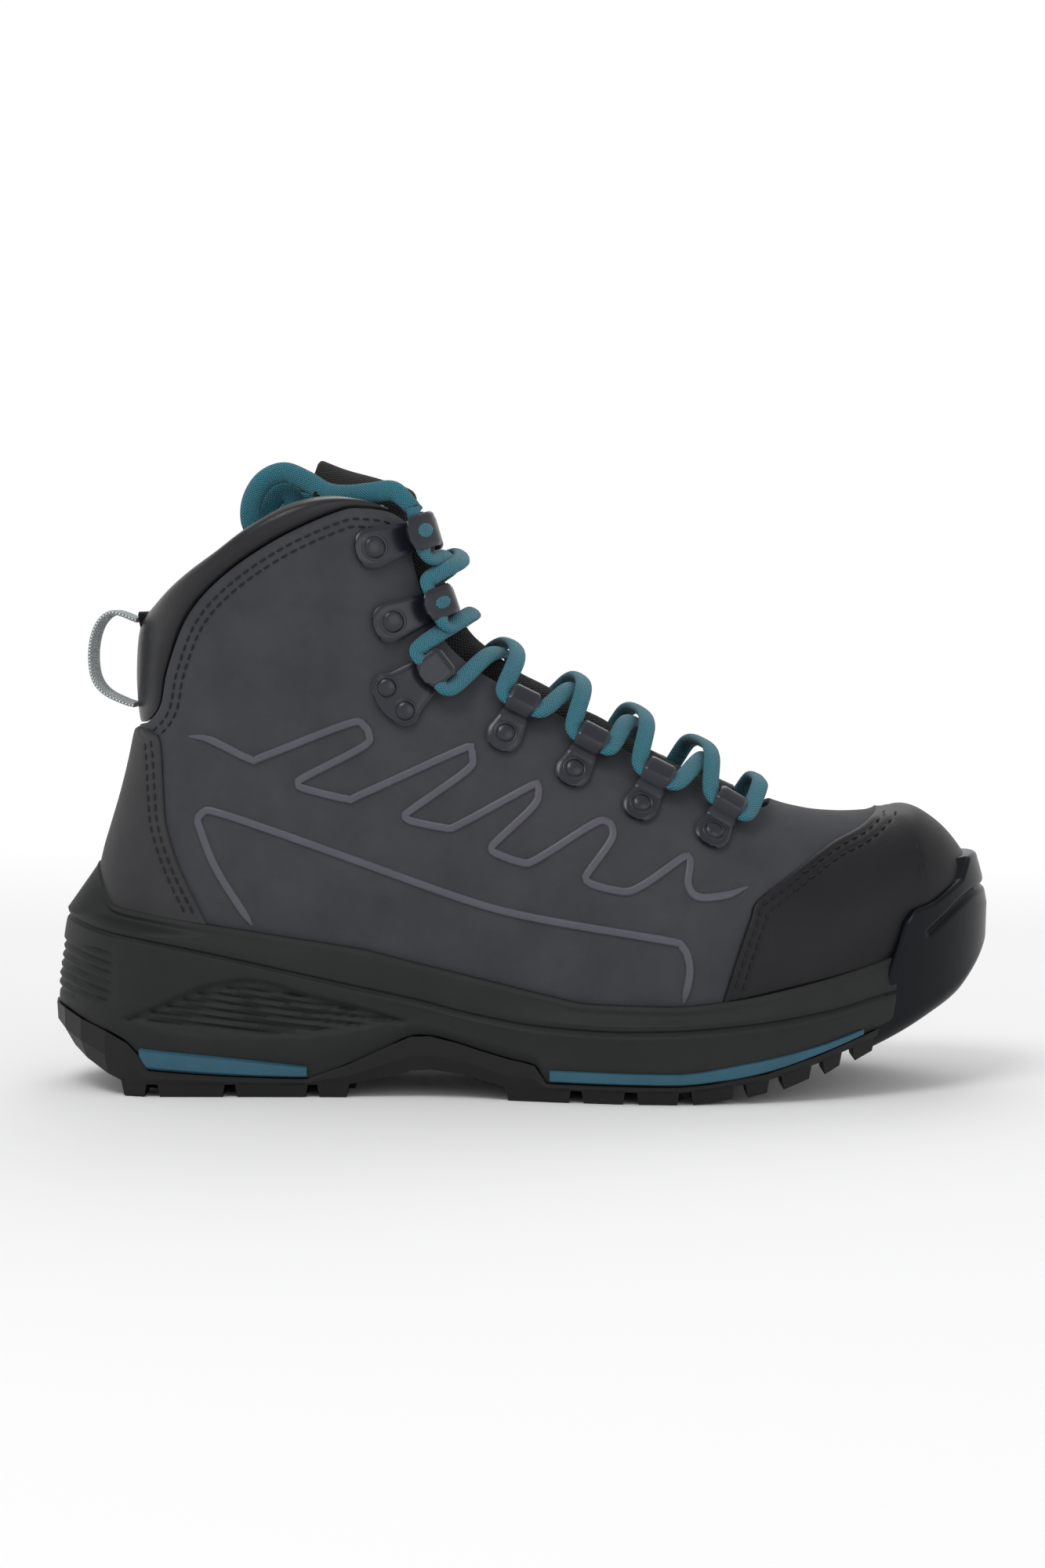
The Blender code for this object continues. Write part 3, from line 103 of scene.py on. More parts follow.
SOLE_TOP = ((0.055, 0.392), (0.060, 0.368), (0.079, 0.314), (0.115, 0.304), (0.179, 0.288),
            (0.257, 0.268), (0.335, 0.248), (0.392, 0.226), (0.459, 0.201), (0.525, 0.177),
            (0.572, 0.163), (0.653, 0.161), (0.709, 0.169), (0.792, 0.195), (0.874, 0.230),
            (0.901, 0.246), (1.002, 0.303))
SOLE_GROOVE = ((0.000, 0.292), (0.114, 0.261), (0.335, 0.184), (0.393, 0.164), (0.453, 0.141),
               (0.525, 0.124), (0.597, 0.119), (0.652, 0.121), (0.731, 0.130), (0.818, 0.150),
               (0.869, 0.170), (0.918, 0.189), (1.000, 0.227))
FEATHER = ((0.048, 0.205), (0.166, 0.200), (0.299, 0.184), (0.400, 0.157), (0.500, 0.130),
           (0.600, 0.114), (0.667, 0.111), (0.734, 0.119), (0.801, 0.138), (0.868, 0.168),
           (0.918, 0.192), (0.985, 0.222))
OUTSOLE_TOP = ((0.000, 0.142), (0.008, 0.141), (0.048, 0.119), (0.085, 0.097), (0.104, 0.070),
               (0.115, 0.045), (0.279, 0.032), (0.319, 0.055), (0.360, 0.084), (0.386, 0.104),
               (0.396, 0.106), (0.406, 0.105), (0.457, 0.083), (0.487, 0.070), (0.513, 0.061),
               (0.525, 0.032), (0.654, 0.031), (0.707, 0.038), (0.751, 0.051), (0.801, 0.076),
               (0.841, 0.100), (0.875, 0.121), (0.918, 0.146), (1.000, 0.180))
BUMPER_FOOT = ((0.700, 0.004), (0.751, 0.017), (0.801, 0.041), (0.841, 0.066), (0.875, 0.086),
               (0.905, 0.106), (0.935, 0.130), (0.965, 0.157), (0.985, 0.190), (1.000, 0.225))

# Plan view: spine's swing as a share of SIDEWAYS, half widths as shares of the named widths
SPINE = ((0.000, 0.00), (0.182, 0.00), (0.349, -0.25), (0.433, -0.50), (0.517, -0.65),
         (0.600, -0.53), (0.667, -0.25), (0.734, 0.10), (0.801, 0.46), (0.851, 0.70),
         (0.901, 0.87), (0.952, 0.96), (1.002, 1.00))
# x, share of the heel's half width, share of the ball's half width added to it
SOLE_PLAN = ((0.000, 1.00, 0.00), (0.182, 1.00, 0.00), (0.266, 0.99, 0.00), (0.349, 0.94, 0.03),
             (0.433, 0.81, 0.15), (0.517, 0.60, 0.39), (0.600, 0.34, 0.69), (0.667, 0.12, 0.91),
             (0.734, 0.00, 1.00), (1.002, 0.00, 0.995))
LAST_PLAN = ((0.000, 1.00, 0.00), (0.299, 1.00, 0.00), (0.400, 0.96, 0.04), (0.500, 0.72, 0.28),
             (0.584, 0.42, 0.60), (0.650, 0.18, 0.85), (0.701, 0.00, 1.00), (0.751, 0.00, 0.99),
             (0.801, 0.00, 0.955), (0.851, 0.00, 0.92), (0.901, 0.00, 0.90), (1.002, 0.00, 0.89))
# z, share of the plan's half width
WAIST = ((0.108, 0.97), (0.200, 0.99), (0.324, 1.00), (0.405, 0.99), (0.486, 0.95),
         (0.568, 0.92), (0.649, 0.92), (0.757, 0.96), (0.865, 1.02), (1.000, 1.08))
# Share along the ridge, rounding depth as a share of HEIGHT
RIDGE_ROUND = ((0.00, 0.26), (0.20, 0.27), (0.35, 0.34), (0.50, 0.40), (0.65, 0.36),
               (0.78, 0.27), (0.88, 0.23), (1.00, 0.22))
HEEL_ROUND = 0.127      # of LENGTH
TOE_ROUND = 0.200
SOLE_HEEL_ROUND = 0.134
SOLE_TOE_ROUND = 0.285
CORNER = 3.5            # how squarely the ridge turns into the toe

# The lines where pieces meet on the side
CAP_SEAM = ((0.703, 0.160), (0.720, 0.245), (0.733, 0.301), (0.741, 0.330), (0.775, 0.368),
            (0.822, 0.416), (0.865, 0.450), (0.915, 0.520))
COUNTER_SEAM = ((0.085, 0.640), (0.113, 0.606), (0.124, 0.590), (0.129, 0.505), (0.133, 0.450),
                (0.147, 0.385), (0.165, 0.325), (0.182, 0.270))
BUMPER_EDGE = ((0.858, 0.050), (0.899, 0.293), (0.909, 0.313), (0.932, 0.324), (0.968, 0.357),
               (0.985, 0.392), (1.050, 0.410))

# Coloured strips: the top line of each, (x, z)
HEEL_STRIP = ((0.106, 0.083), (0.190, 0.069), (0.279, 0.053))
FORE_STRIP = ((0.529, 0.056), (0.654, 0.054), (0.731, 0.071), (0.803, 0.095), (0.851, 0.119))

# Lacing hardware: x, z of the rivet, and the turn of its long side from level, degrees
TABS = (("1", 0.483, 0.605, 62.0), ("2", 0.554, 0.545, 60.0), ("3", 0.623, 0.487, 58.0),
        ("4", 0.697, 0.440, 57.0))
COLLAR_FRONT = 0.363    # where the padded rim stops short of the throat
TONGUE_START = 0.600    # shares along the ridge where the tongue starts and turns back
TONGUE_TURN = 0.035
PULL_LOOP = ((0.0935, 0.795), (0.068, 0.808), (0.052, 0.787), (0.045, 0.745), (0.047, 0.700),
             (0.058, 0.673), (0.078, 0.656), (0.0905, 0.650))
LACE_OUT = 2.2          # how far the lower strand's middle stands off the last
LACE_LIFT = 2.1         # and further out where it passes the throat's edge
TAB_LONG = 17.0
TAB_WIDE = 8.0
TUNNEL = 5.6            # height inside the tab's arch
HOOKS = (("ankle", 0.372, 0.665, 38.0), ("middle", 0.366, 0.792, 22.0),
         ("top", 0.347, 0.915, 18.0))
HOOK_LONG = 20.0
HOOK_WIDE = 10.5
HOOK_RISE = 5.2
METAL = 1.2             # sheet thickness of tabs and hooks
SEAT = 0.8              # room under them, over the upper's curve


# Numbers and curves

def place_x(share):
    """A share of the sole's length as x: (share - 0.5) * LENGTH."""
    return (np.asarray(share, float) - 0.5) * LENGTH


def place_z(share):
    """A share of the boot's height as z."""
    return np.asarray(share, float) * HEIGHT


def smooth(table, column, x):
    """A table's column at x (a share), through its rows without overshoot."""
    xs = np.array([row[0] for row in table], float)
    ys = np.array([row[column] for row in table], float)
    step = np.diff(xs)
    rise = np.diff(ys) / step
    slope = np.zeros(len(xs))
    same = rise[:-1] * rise[1:] > 0
    slope[1:-1][same] = 2 * rise[:-1][same] * rise[1:][same] / (rise[:-1] + rise[1:])[same]
    slope[0], slope[-1] = rise[0], rise[-1]
    x = np.clip(x, xs[0], xs[-1])
    at = np.clip(np.searchsorted(xs, x, side="right") - 1, 0, len(step) - 1)
    t = (x - xs[at]) / step[at]
    return ((2 * t**3 - 3 * t**2 + 1) * ys[at] + (t**3 - 2 * t**2 + t) * step[at] * slope[at]
            + (3 * t**2 - 2 * t**3) * ys[at + 1] + (t**3 - t**2) * step[at] * slope[at + 1])


def line_z(table, x):
    """Height in millimetres of a side-view line at x millimetres."""
    return place_z(smooth(table, 1, np.asarray(x, float) / LENGTH + 0.5))


def spline(points, per_span=8):
    """A dense smooth path through the points (rows of any width)."""
    p = np.array(points, float)
    p = np.vstack([2 * p[0] - p[1], p, 2 * p[-1] - p[-2]])
    t = np.linspace(0, 1, per_span, endpoint=False)[:, None]
    spans = [0.5 * (2 * b + (c - a) * t + (2 * a - 5 * b + 4 * c - d) * t**2
                    + (3 * b - a - 3 * c + d) * t**3)
             for a, b, c, d in zip(p, p[1:], p[2:], p[3:])]
    return np.vstack(spans + [p[-2:-1]])


def even(path, share):
    """Points at shares of a path's length."""
    run = np.concatenate([[0], np.cumsum(np.linalg.norm(np.diff(path, axis=0), axis=1))])
    at = np.asarray(share, float) * run[-1]
    return np.stack([np.interp(at, run, path[:, k]) for k in range(path.shape[1])], -1)


def side_line(table, per_span=8):
    """A table of shares as a dense (x, z) path in millimetres."""
    path = spline([(row[0], row[1]) for row in table], per_span)
    return np.stack([place_x(path[:, 0]), place_z(path[:, 1])], -1)


def bunched(count, how):
    """Shares from 0 to 1, closer together at both ends."""
    even_share = np.linspace(0, 1, count + 1)
    return even_share + how * ((1 - np.cos(even_share * math.pi)) / 2 - even_share)


# The last

RIDGE_PATH = side_line(RIDGE)
RIDGE_RUN = np.concatenate([[0], np.cumsum(np.linalg.norm(np.diff(RIDGE_PATH, axis=0), axis=1))])


def spine(x):
    """Where the last's middle lies sideways at x."""
    return SIDEWAYS * smooth(SPINE, 1, np.asarray(x, float) / LENGTH + 0.5)


def plan(table, heel, ball, x):
    """Half width at x: the heel's and the ball's half widths, each times its share."""
    share = np.asarray(x, float) / LENGTH + 0.5
    return smooth(table, 1, share) * heel / 2 + smooth(table, 2, share) * ball / 2


def full_width(x, z):
    """The last's half width well inside its outline: the plan's, times the waist's share."""
    share = np.asarray(z, float) / HEIGHT
    return plan(LAST_PLAN, LAST_HEEL, LAST_BALL, x) * smooth(WAIST, 1, share)


def ridge_depth(x, z):
    """How far (x, z) lies below the ridge, as a share of its rounding there; minus outside."""
    p = np.stack([np.ravel(x), np.ravel(z)], -1)[:, None]
    a, b = RIDGE_PATH[:-1], RIDGE_PATH[1:]
    run = ((p - a) * (b - a)).sum(-1) / ((b - a) ** 2).sum(-1)
    run = np.clip(run, 0, 1)
    away = p - (a + run[..., None] * (b - a))
    gap = np.linalg.norm(away, axis=-1)
    near = gap.argmin(1)
    rows = np.arange(len(near))
    along = (b - a)[near]
    off = away[rows, near]
    inside = np.sign(along[:, 1] * off[:, 0] - along[:, 0] * off[:, 1])
    share = (RIDGE_RUN[near] + run[rows, near] * np.diff(RIDGE_RUN)[near]) / RIDGE_RUN[-1]
    depth = inside * gap[rows, near] / (HEIGHT * smooth(RIDGE_ROUND, 1, share))
    return depth.reshape(np.shape(x))


def heel_x(z):
    """The heel's back at a height."""
    rows = [(row[1], row[0]) for row in HEEL_BACK]
    return place_x(smooth(rows, 1, np.asarray(z, float) / HEIGHT))


def toe_x(z):
    """The toe's front at a height, before the corner with the ridge is rounded."""
    rows = [(row[1], row[0]) for row in TOE_FRONT]
    return place_x(smooth(rows, 1, np.asarray(z, float) / HEIGHT))


def edge_level(x, z):
    """0 well inside the side view, 1 on its outline, more outside."""
    x, z = np.asarray(x, float), np.asarray(z, float)
    top = np.maximum(1 - ridge_depth(x, z), 0)
    toe = np.maximum(1 - (toe_x(z) - x) / (TOE_ROUND * LENGTH), 0)
    back = np.maximum(1 - (x - heel_x(z)) / (HEEL_ROUND * LENGTH), 0)
    return (top**CORNER + toe**CORNER + back**CORNER) ** (1 / CORNER)


def half_width(x, z):
    """The last's half width: full_width * sqrt(1 - edge_level^2)."""
    return full_width(x, z) * np.sqrt(np.maximum(1 - edge_level(x, z) ** 2, 0))


def outline_at(pivot, angle):
    """Where rays from the pivot, at angles from level, leave the side view."""
    low, high = np.zeros(len(angle)), np.full(len(angle), 0.5 * LENGTH)
    for _ in range(40):
        mid = (low + high) / 2
        out = edge_level(pivot[0] + mid * np.cos(angle), pivot[1] + mid * np.sin(angle)) > 1
        low, high = np.where(out, low, mid), np.where(out, mid, high)
    return np.stack([pivot[0] + low * np.cos(angle), pivot[1] + low * np.sin(angle)], -1)


def tip_x(z):
    """The toe's foremost x at a height."""
    z = np.asarray(z, float)
    low, high = np.full(z.shape, place_x(0.75)), np.full(z.shape, place_x(1.1))
    for _ in range(40):
        mid = (low + high) / 2
        out = edge_level(mid, z) > 1
        low, high = np.where(out, low, mid), np.where(out, mid, high)
    return low


def relaxed(grid, rounds):
    """A side-view grid evened by Winslow's equations, which keep its cells from folding over."""
    grid = grid.copy()
    for _ in range(rounds):
        du, dv = (grid[2:, 1:-1] - grid[:-2, 1:-1]) / 2, (grid[1:-1, 2:] - grid[1:-1, :-2]) / 2
        along, across = (dv * dv).sum(-1, keepdims=True), (du * du).sum(-1, keepdims=True)
        twist = grid[2:, 2:] - grid[:-2, 2:] - grid[2:, :-2] + grid[:-2, :-2]
        pull = (along * (grid[2:, 1:-1] + grid[:-2, 1:-1])
                + across * (grid[1:-1, 2:] + grid[1:-1, :-2])
                - (du * dv).sum(-1, keepdims=True) * twist / 2)
        grid[1:-1, 1:-1] = pull / (2 * (along + across) + 1e-9)
    return grid


def upper_grid(around, up):
    """(x, z) of the upper's side, from heel to toe and from feather to top edge."""
    u, v = bunched(around, 0.85)[:, None], np.linspace(0, 1, up + 1)[None, :]
    top = np.vstack([side_line(QUARTER_EDGE)[:-1], side_line(THROAT_EDGE)])
    first, last = place_x(FEATHER[0][0]), place_x(FEATHER[-1][0])
    for _ in range(8):
        first, last = heel_x(line_z(FEATHER, first)), tip_x(line_z(FEATHER, last))
    low_x = first + (last - first) * np.linspace(0, 1, 200)
    low = np.stack([low_x, line_z(FEATHER, low_x)], -1)
    back_z = np.linspace(low[0, 1], top[0, 1], 60)
    back = np.stack([heel_x(back_z), back_z], -1)
    pivot = (place_x(0.80), place_z(0.28))
    ends = [math.atan2(p[1] - pivot[1], p[0] - pivot[0]) for p in (low[-1], top[-1])]
    front = outline_at(pivot, np.linspace(ends[0], ends[1], 120))
    low, top = even(low, u[:, 0])[:, None], even(top, u[:, 0])[:, None]
    back, front = even(back, v[0])[None], even(front, v[0])[None]
    top = top + (front[:, -1:] - top[-1:]) * u[..., None] ** 8
    u, v = u[..., None], v[..., None]
    corners = ((1 - u) * (1 - v) * low[:1] + u * (1 - v) * low[-1:]
               + (1 - u) * v * top[:1] + u * v * top[-1:])
    grid = (1 - v) * low + v * top + (1 - u) * back + u * front - corners
    return grid + (relaxed(grid, 60) - grid) * np.clip((u - 0.55) / 0.2, 0, 1)


def on_upper(x, z, side, out=0.0):
    """Points on the upper's outside at (x, z), moved out along its normal. Side -1 is lateral."""
    x, z = np.asarray(x, float), np.asarray(z, float)
    step = 0.4
    width = half_width(x, z)
    slope_x = (half_width(x + step, z) - half_width(x - step, z)) / (2 * step)
    slope_z = (half_width(x, z + step) - half_width(x, z - step)) / (2 * step)
    bend = (spine(x + step) - spine(x - step)) / (2 * step)
    normal = np.stack([-slope_x - side * bend, side * np.ones_like(x), -slope_z], -1)
    normal /= np.linalg.norm(normal, axis=-1, keepdims=True)
    point = np.stack([x, spine(x) + side * width, z], -1)
    return point + normal * np.asarray(out, float)[..., None]


def sole_half(x):
    """The sole's half width: the plan's, rounded off by a quarter circle at each end."""
    ends = ((x + LENGTH / 2) / (SOLE_HEEL_ROUND * LENGTH),
            (LENGTH / 2 - x) / (SOLE_TOE_ROUND * LENGTH))
    round_off = [np.sqrt(np.maximum(1 - (1 - np.clip(e, 0, 1)) ** 2, 0)) for e in ends]
    return plan(SOLE_PLAN, HEEL_WIDTH, BALL_WIDTH, x) * round_off[0] * round_off[1]


def both_sides(x, y, z):
    """A loop heel to toe on the lateral side and back on the medial one, from half widths."""
    lateral = np.stack([x, spine(x) - y, z], -1)
    medial = np.stack([x, spine(x) + y, z], -1)
    return np.vstack([lateral, medial[::-1]])


def plan_normals(loop):
    """Outward normals in plan. Where the two sides meet at a tip, their ends share one."""
    half = len(loop) // 2
    normals = np.zeros_like(loop)
    for part_of in (slice(0, half), slice(half, None)):
        along = np.gradient(loop[part_of, :2], axis=0)
        normals[part_of, 0], normals[part_of, 1] = along[:, 1], -along[:, 0]
    for one, other in ((0, -1), (half - 1, half)):
        if np.linalg.norm(loop[one, :2] - loop[other, :2]) < 1e-6:
            normals[one] = normals[other] = normals[one] + normals[other]
    return normals / np.linalg.norm(normals, axis=1, keepdims=True)


def sole_loop(inset, z, stations=None):
    """The sole's outline drawn in by an inset, at heights z(x) or given for each station."""
    x = SOLE_X if stations is None else stations
    loop = both_sides(x, sole_half(x), np.zeros_like(x))
    inset = np.broadcast_to(inset, x.shape)
    inset = np.concatenate([inset, inset[::-1]])
    moved = loop - plan_normals(loop) * inset[:, None]
    moved[:, 2] = np.concatenate([z, z[::-1]])
    return moved


def last_loop(grow, level):
    """The upper's outline in plan, grown, where level(x) gives its height."""
    share = SOLE_X / LENGTH + 0.5
    back, front = np.full_like(share, place_x(0.06)), np.full_like(share, place_x(0.98))
    for _ in range(6):
        x = back + (front - back) * share
        z = level(x)
        back, front = heel_x(z), tip_x(z)
    x = back + (front - back) * share
    width = half_width(x, z)
    width[[0, -1]] = 0
    loop = both_sides(x, width, z)
    return loop + plan_normals(loop) * grow


# Instep and hardware seats

def beside_ridge(share, y):
    """Points of the last's surface straight in from shares along the ridge, y to the side."""
    point = even(RIDGE_PATH, share)
    along = (even(RIDGE_PATH, np.minimum(share + 0.01, 1))
             - even(RIDGE_PATH, np.maximum(share - 0.01, 0)))
    inward = np.stack([along[:, 1], -along[:, 0]], -1)
    inward /= np.linalg.norm(inward, axis=1, keepdims=True)
    low, high = np.zeros_like(share), HEIGHT * smooth(RIDGE_ROUND, 1, share)
    for _ in range(30):
        mid = (low + high) / 2
        at = point + inward * mid[:, None]
        short = half_width(at[:, 0], at[:, 1]) < np.abs(y)
        low, high = np.where(short, mid, low), np.where(short, high, mid)
    at = point + inward * low[:, None]
    return np.stack([at[:, 0], spine(at[:, 0]) + y, at[:, 1]], -1)


def over_instep(share, y, out):
    """Points beside the ridge at shares along it, y to the side and out from the last."""
    share, y, out = np.broadcast_arrays(*(np.atleast_1d(np.asarray(v, float))
                                          for v in (share, y, out)))
    along = beside_ridge(share + 0.006, y) - beside_ridge(share - 0.006, y)
    across = beside_ridge(share, y + 0.8) - beside_ridge(share, y - 0.8)
    normal = np.cross(along, across)
    normal /= np.linalg.norm(normal, axis=1, keepdims=True)
    return beside_ridge(share, y) + normal * out[:, None]


def seat(x, z, turn, side):
    """A frame on the upper: its point, the long axis at a side-view angle, and the cross axis."""
    point = on_upper(x, z, side)
    step = 0.5 * np.array([math.cos(math.radians(turn)), math.sin(math.radians(turn))])
    ahead = on_upper(x + step[0], z + step[1], side)
    long_axis = (ahead - point) / np.linalg.norm(ahead - point)
    normal = on_upper(x, z, side, 1.0) - point
    cross_axis = np.cross(normal, long_axis) * -side
    return point, long_axis, cross_axis


def seated(frame_at, side, along, across, out):
    """Points at (along, across) in a seat's frame, laid on the upper and moved out."""
    point, long_axis, cross_axis = frame_at
    at = point + np.outer(along, long_axis) + np.outer(across, cross_axis)
    return on_upper(at[:, 0], at[:, 2], side, np.asarray(out, float))


def lace_gates(row, side):
    """Where the lace goes in at the toe's end of a tab or hook and comes out at the other."""
    if row < len(TABS):
        _, x, z, turn = TABS[len(TABS) - 1 - row]
        along, reach, out = TAB_LONG - 7.4, TAB_WIDE / 2 + 2.2, SEAT + METAL + 2.4
    else:
        _, x, z, turn = HOOKS[row - len(TABS)]
        along, reach, out = HOOK_LONG - 7.0, HOOK_WIDE / 2 + 2.6, SEAT + METAL + 2.9
    frame_at = seat(place_x(x), place_z(z), turn, side)
    gates = [seated(frame_at, side, [along], [across], [out])[0] for across in (reach, -reach)]
    return sorted(gates, key=lambda gate: gate[2] - gate[0])


# Surfaces

def refine(rows, per_span, closed=False):
    """Whole arrays drawn smooth along their first axis, by the cubic through four neighbours."""
    rows = np.asarray(rows, float)
    if closed:
        p = np.concatenate([rows[-1:], rows, rows[:2]])
    else:
        p = np.concatenate([2 * rows[:1] - rows[1:2], rows, 2 * rows[-1:] - rows[-2:-1]])
    t = np.linspace(0, 1, per_span, endpoint=False).reshape((1, -1) + (1,) * (rows.ndim - 1))
    a, b, c, d = (p[k:len(p) - 3 + k][:, None] for k in range(4))
    drawn = 0.5 * (2 * b + (c - a) * t + (2 * a - 5 * b + 4 * c - d) * t**2
                   + (3 * b - a - 3 * c + d) * t**3)
    drawn = drawn.reshape((-1,) + rows.shape[1:])
    return drawn if closed else np.concatenate([drawn, rows[-1:]])


def run_of(points, axis, closed):
    """Mean length in millimetres along a grid's axis, from 0, with one more value if closed."""
    ahead = np.roll(points, -1, axis) if closed else points
    step = np.linalg.norm((ahead - points) if closed else np.diff(points, axis=axis), axis=-1)
    return np.concatenate([[0], np.cumsum(step.mean(1 - axis))])


def shell(points, wrap=(False, False), caps=False):
    """(points, faces, uv) over a grid (rows, columns, xyz); uv is the run along both axes."""
    rows, columns = points.shape[:2]
    r0, c0 = np.meshgrid(np.arange(rows - (not wrap[0])), np.arange(columns - (not wrap[1])),
                         indexing="ij")
    r1, c1 = (r0 + 1) % rows, (c0 + 1) % columns
    quads = np.stack([r0 * columns + c0, r1 * columns + c0, r1 * columns + c1,
                      r0 * columns + c1], -1).reshape(-1, 4)
    u, v = run_of(points, 0, wrap[0]), run_of(points, 1, wrap[1])
    corners = ((r0, c0), (r0 + 1, c0), (r0 + 1, c0 + 1), (r0, c0 + 1))
    uv = np.stack([np.stack([u[r], v[c]], -1) for r, c in corners], 2).reshape(-1, 2)
    faces = quads.tolist()
    if caps:
        faces += [list(range(columns))[::-1], [(rows - 1) * columns + k for k in range(columns)]]
        uv = np.vstack([uv, np.zeros((2 * columns, 2))])
    return points.reshape(-1, 3), faces, uv


def piece(name, shells, look, replaces=(), wall=0.0, sharp=40.0):
    """One object from shells: doubled points joined, faces turned out, its finish put on, and hung
    under the root.
    """
    start, points, faces, uvs = 0, [], [], []
    for some, their, uv in shells:
        points.append(some)
        faces += [[k + start for k in face] for face in their]
        uvs.append(uv)
        start += len(some)
    mesh = bpy.data.meshes.new(name)
    mesh.from_pydata((np.vstack(points) * MM).tolist(), [], faces)
    layer = mesh.uv_layers.new(name="run")
    layer.data.foreach_set("uv", np.vstack(uvs).astype(np.float32).ravel())
    tidy = bmesh.new()
    tidy.from_mesh(mesh)
    bmesh.ops.remove_doubles(tidy, verts=tidy.verts, dist=2e-6)
    bmesh.ops.recalc_face_normals(tidy, faces=tidy.faces)
    tidy.to_mesh(mesh)
    tidy.free()
    mesh.materials.append(finish_of(look))
    mesh.shade_smooth()
    mesh.set_sharp_from_angle(angle=math.radians(sharp))
    obj = bpy.data.objects.new(name, mesh)
    bpy.context.scene.collection.objects.link(obj)
    if wall:
        step = obj.modifiers.new("Wall", "SOLIDIFY")
        step.thickness, step.offset = wall * MM, -1
    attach(obj, "root")
    if replaces:
        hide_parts(*replaces)
    return obj


def outward(x, z, side, out=0.0):
    """Points of the last moved out. The surface is (y / width)^2 + level^2 = 1, and its normal
    is that function's gradient, so it holds on the silhouettes too."""
    x, z = np.asarray(x, float), np.asarray(z, float)
    level, width, step = edge_level(x, z), full_width(x, z), 0.3
    y = side * width * np.sqrt(np.maximum(1 - level**2, 0))
    level_x = (edge_level(x + step, z) - edge_level(x - step, z)) / (2 * step)
    level_z = (edge_level(x, z + step) - edge_level(x, z - step)) / (2 * step)
    width_x = (full_width(x + step, z) - full_width(x - step, z)) / (2 * step)
    width_z = (full_width(x, z + step) - full_width(x, z - step)) / (2 * step)
    bend = (spine(x + step) - spine(x - step)) / (2 * step)
    normal = np.stack([level * level_x - y**2 * width_x / width**3 - y * bend / width**2,
                       y / width**2, level * level_z - y**2 * width_z / width**3], -1)
    normal /= np.maximum(np.linalg.norm(normal, axis=-1, keepdims=True), 1e-9)
    point = np.stack([x, spine(x) + y, z], -1)
    return point + normal * np.asarray(out, float)[..., None]


def away_from(line, x, z):
    """Distance in the side view from points to a line of (x, z) points."""
    p = np.stack([np.ravel(x), np.ravel(z)], -1)
    best = np.full(len(p), 1e9)
    for a, b in zip(line[:-1], line[1:]):
        span = b - a
        share = np.clip(((p - a) @ span) / (span @ span), 0, 1)
        best = np.minimum(best, np.linalg.norm(p - a - share[:, None] * span, axis=1))
    return best.reshape(np.shape(x))


def bump_at(value, centre, width):
    """A soft hump of height 1: exp(-((value - centre) / width)^2)."""
    return np.exp(-((value - centre) / width) ** 2)


def ease(value):
    """From 0 to 1 with level ends: 3 v^2 - 2 v^3."""
    value = np.clip(value, 0, 1)
    return value * value * (3 - 2 * value)


def round_last(x, z, out, closed):
    """A grid laid on the lateral side and back on the medial one, as one ring of columns. Closed,
    it meets itself at both ends, and open, at the last column alone."""
    lateral, medial = (outward(x, z, side, out) for side in (-1, 1))
    return np.concatenate([lateral, medial[-2:0:-1] if closed else medial[-2::-1]])


def framed_tube(path, across, thick, reference, sides, swell=1.0):
    """An oval tube: rings of across / 2 and thick / 2 about a path, times a swell at each point,
    their flat side to a reference direction."""
    along = np.gradient(path, axis=0)
    along /= np.linalg.norm(along, axis=1, keepdims=True)
    side = np.cross(along, reference)
    side /= np.maximum(np.linalg.norm(side, axis=1, keepdims=True), 1e-9)
    up = np.cross(side, along)
    turn = np.linspace(0, 2 * math.pi, sides, endpoint=False)
    swell = np.broadcast_to(swell, len(path))
    ring = (side[:, None] * (np.cos(turn) * across / 2)[None, :, None]
            + up[:, None] * (np.sin(turn) * thick / 2)[None, :, None])
    return path[:, None] + ring * swell[:, None, None]


# Finishes

SOCKETS = ("Roughness", "Specular IOR Level", "Sheen Weight", "Coat Weight", "Metallic")
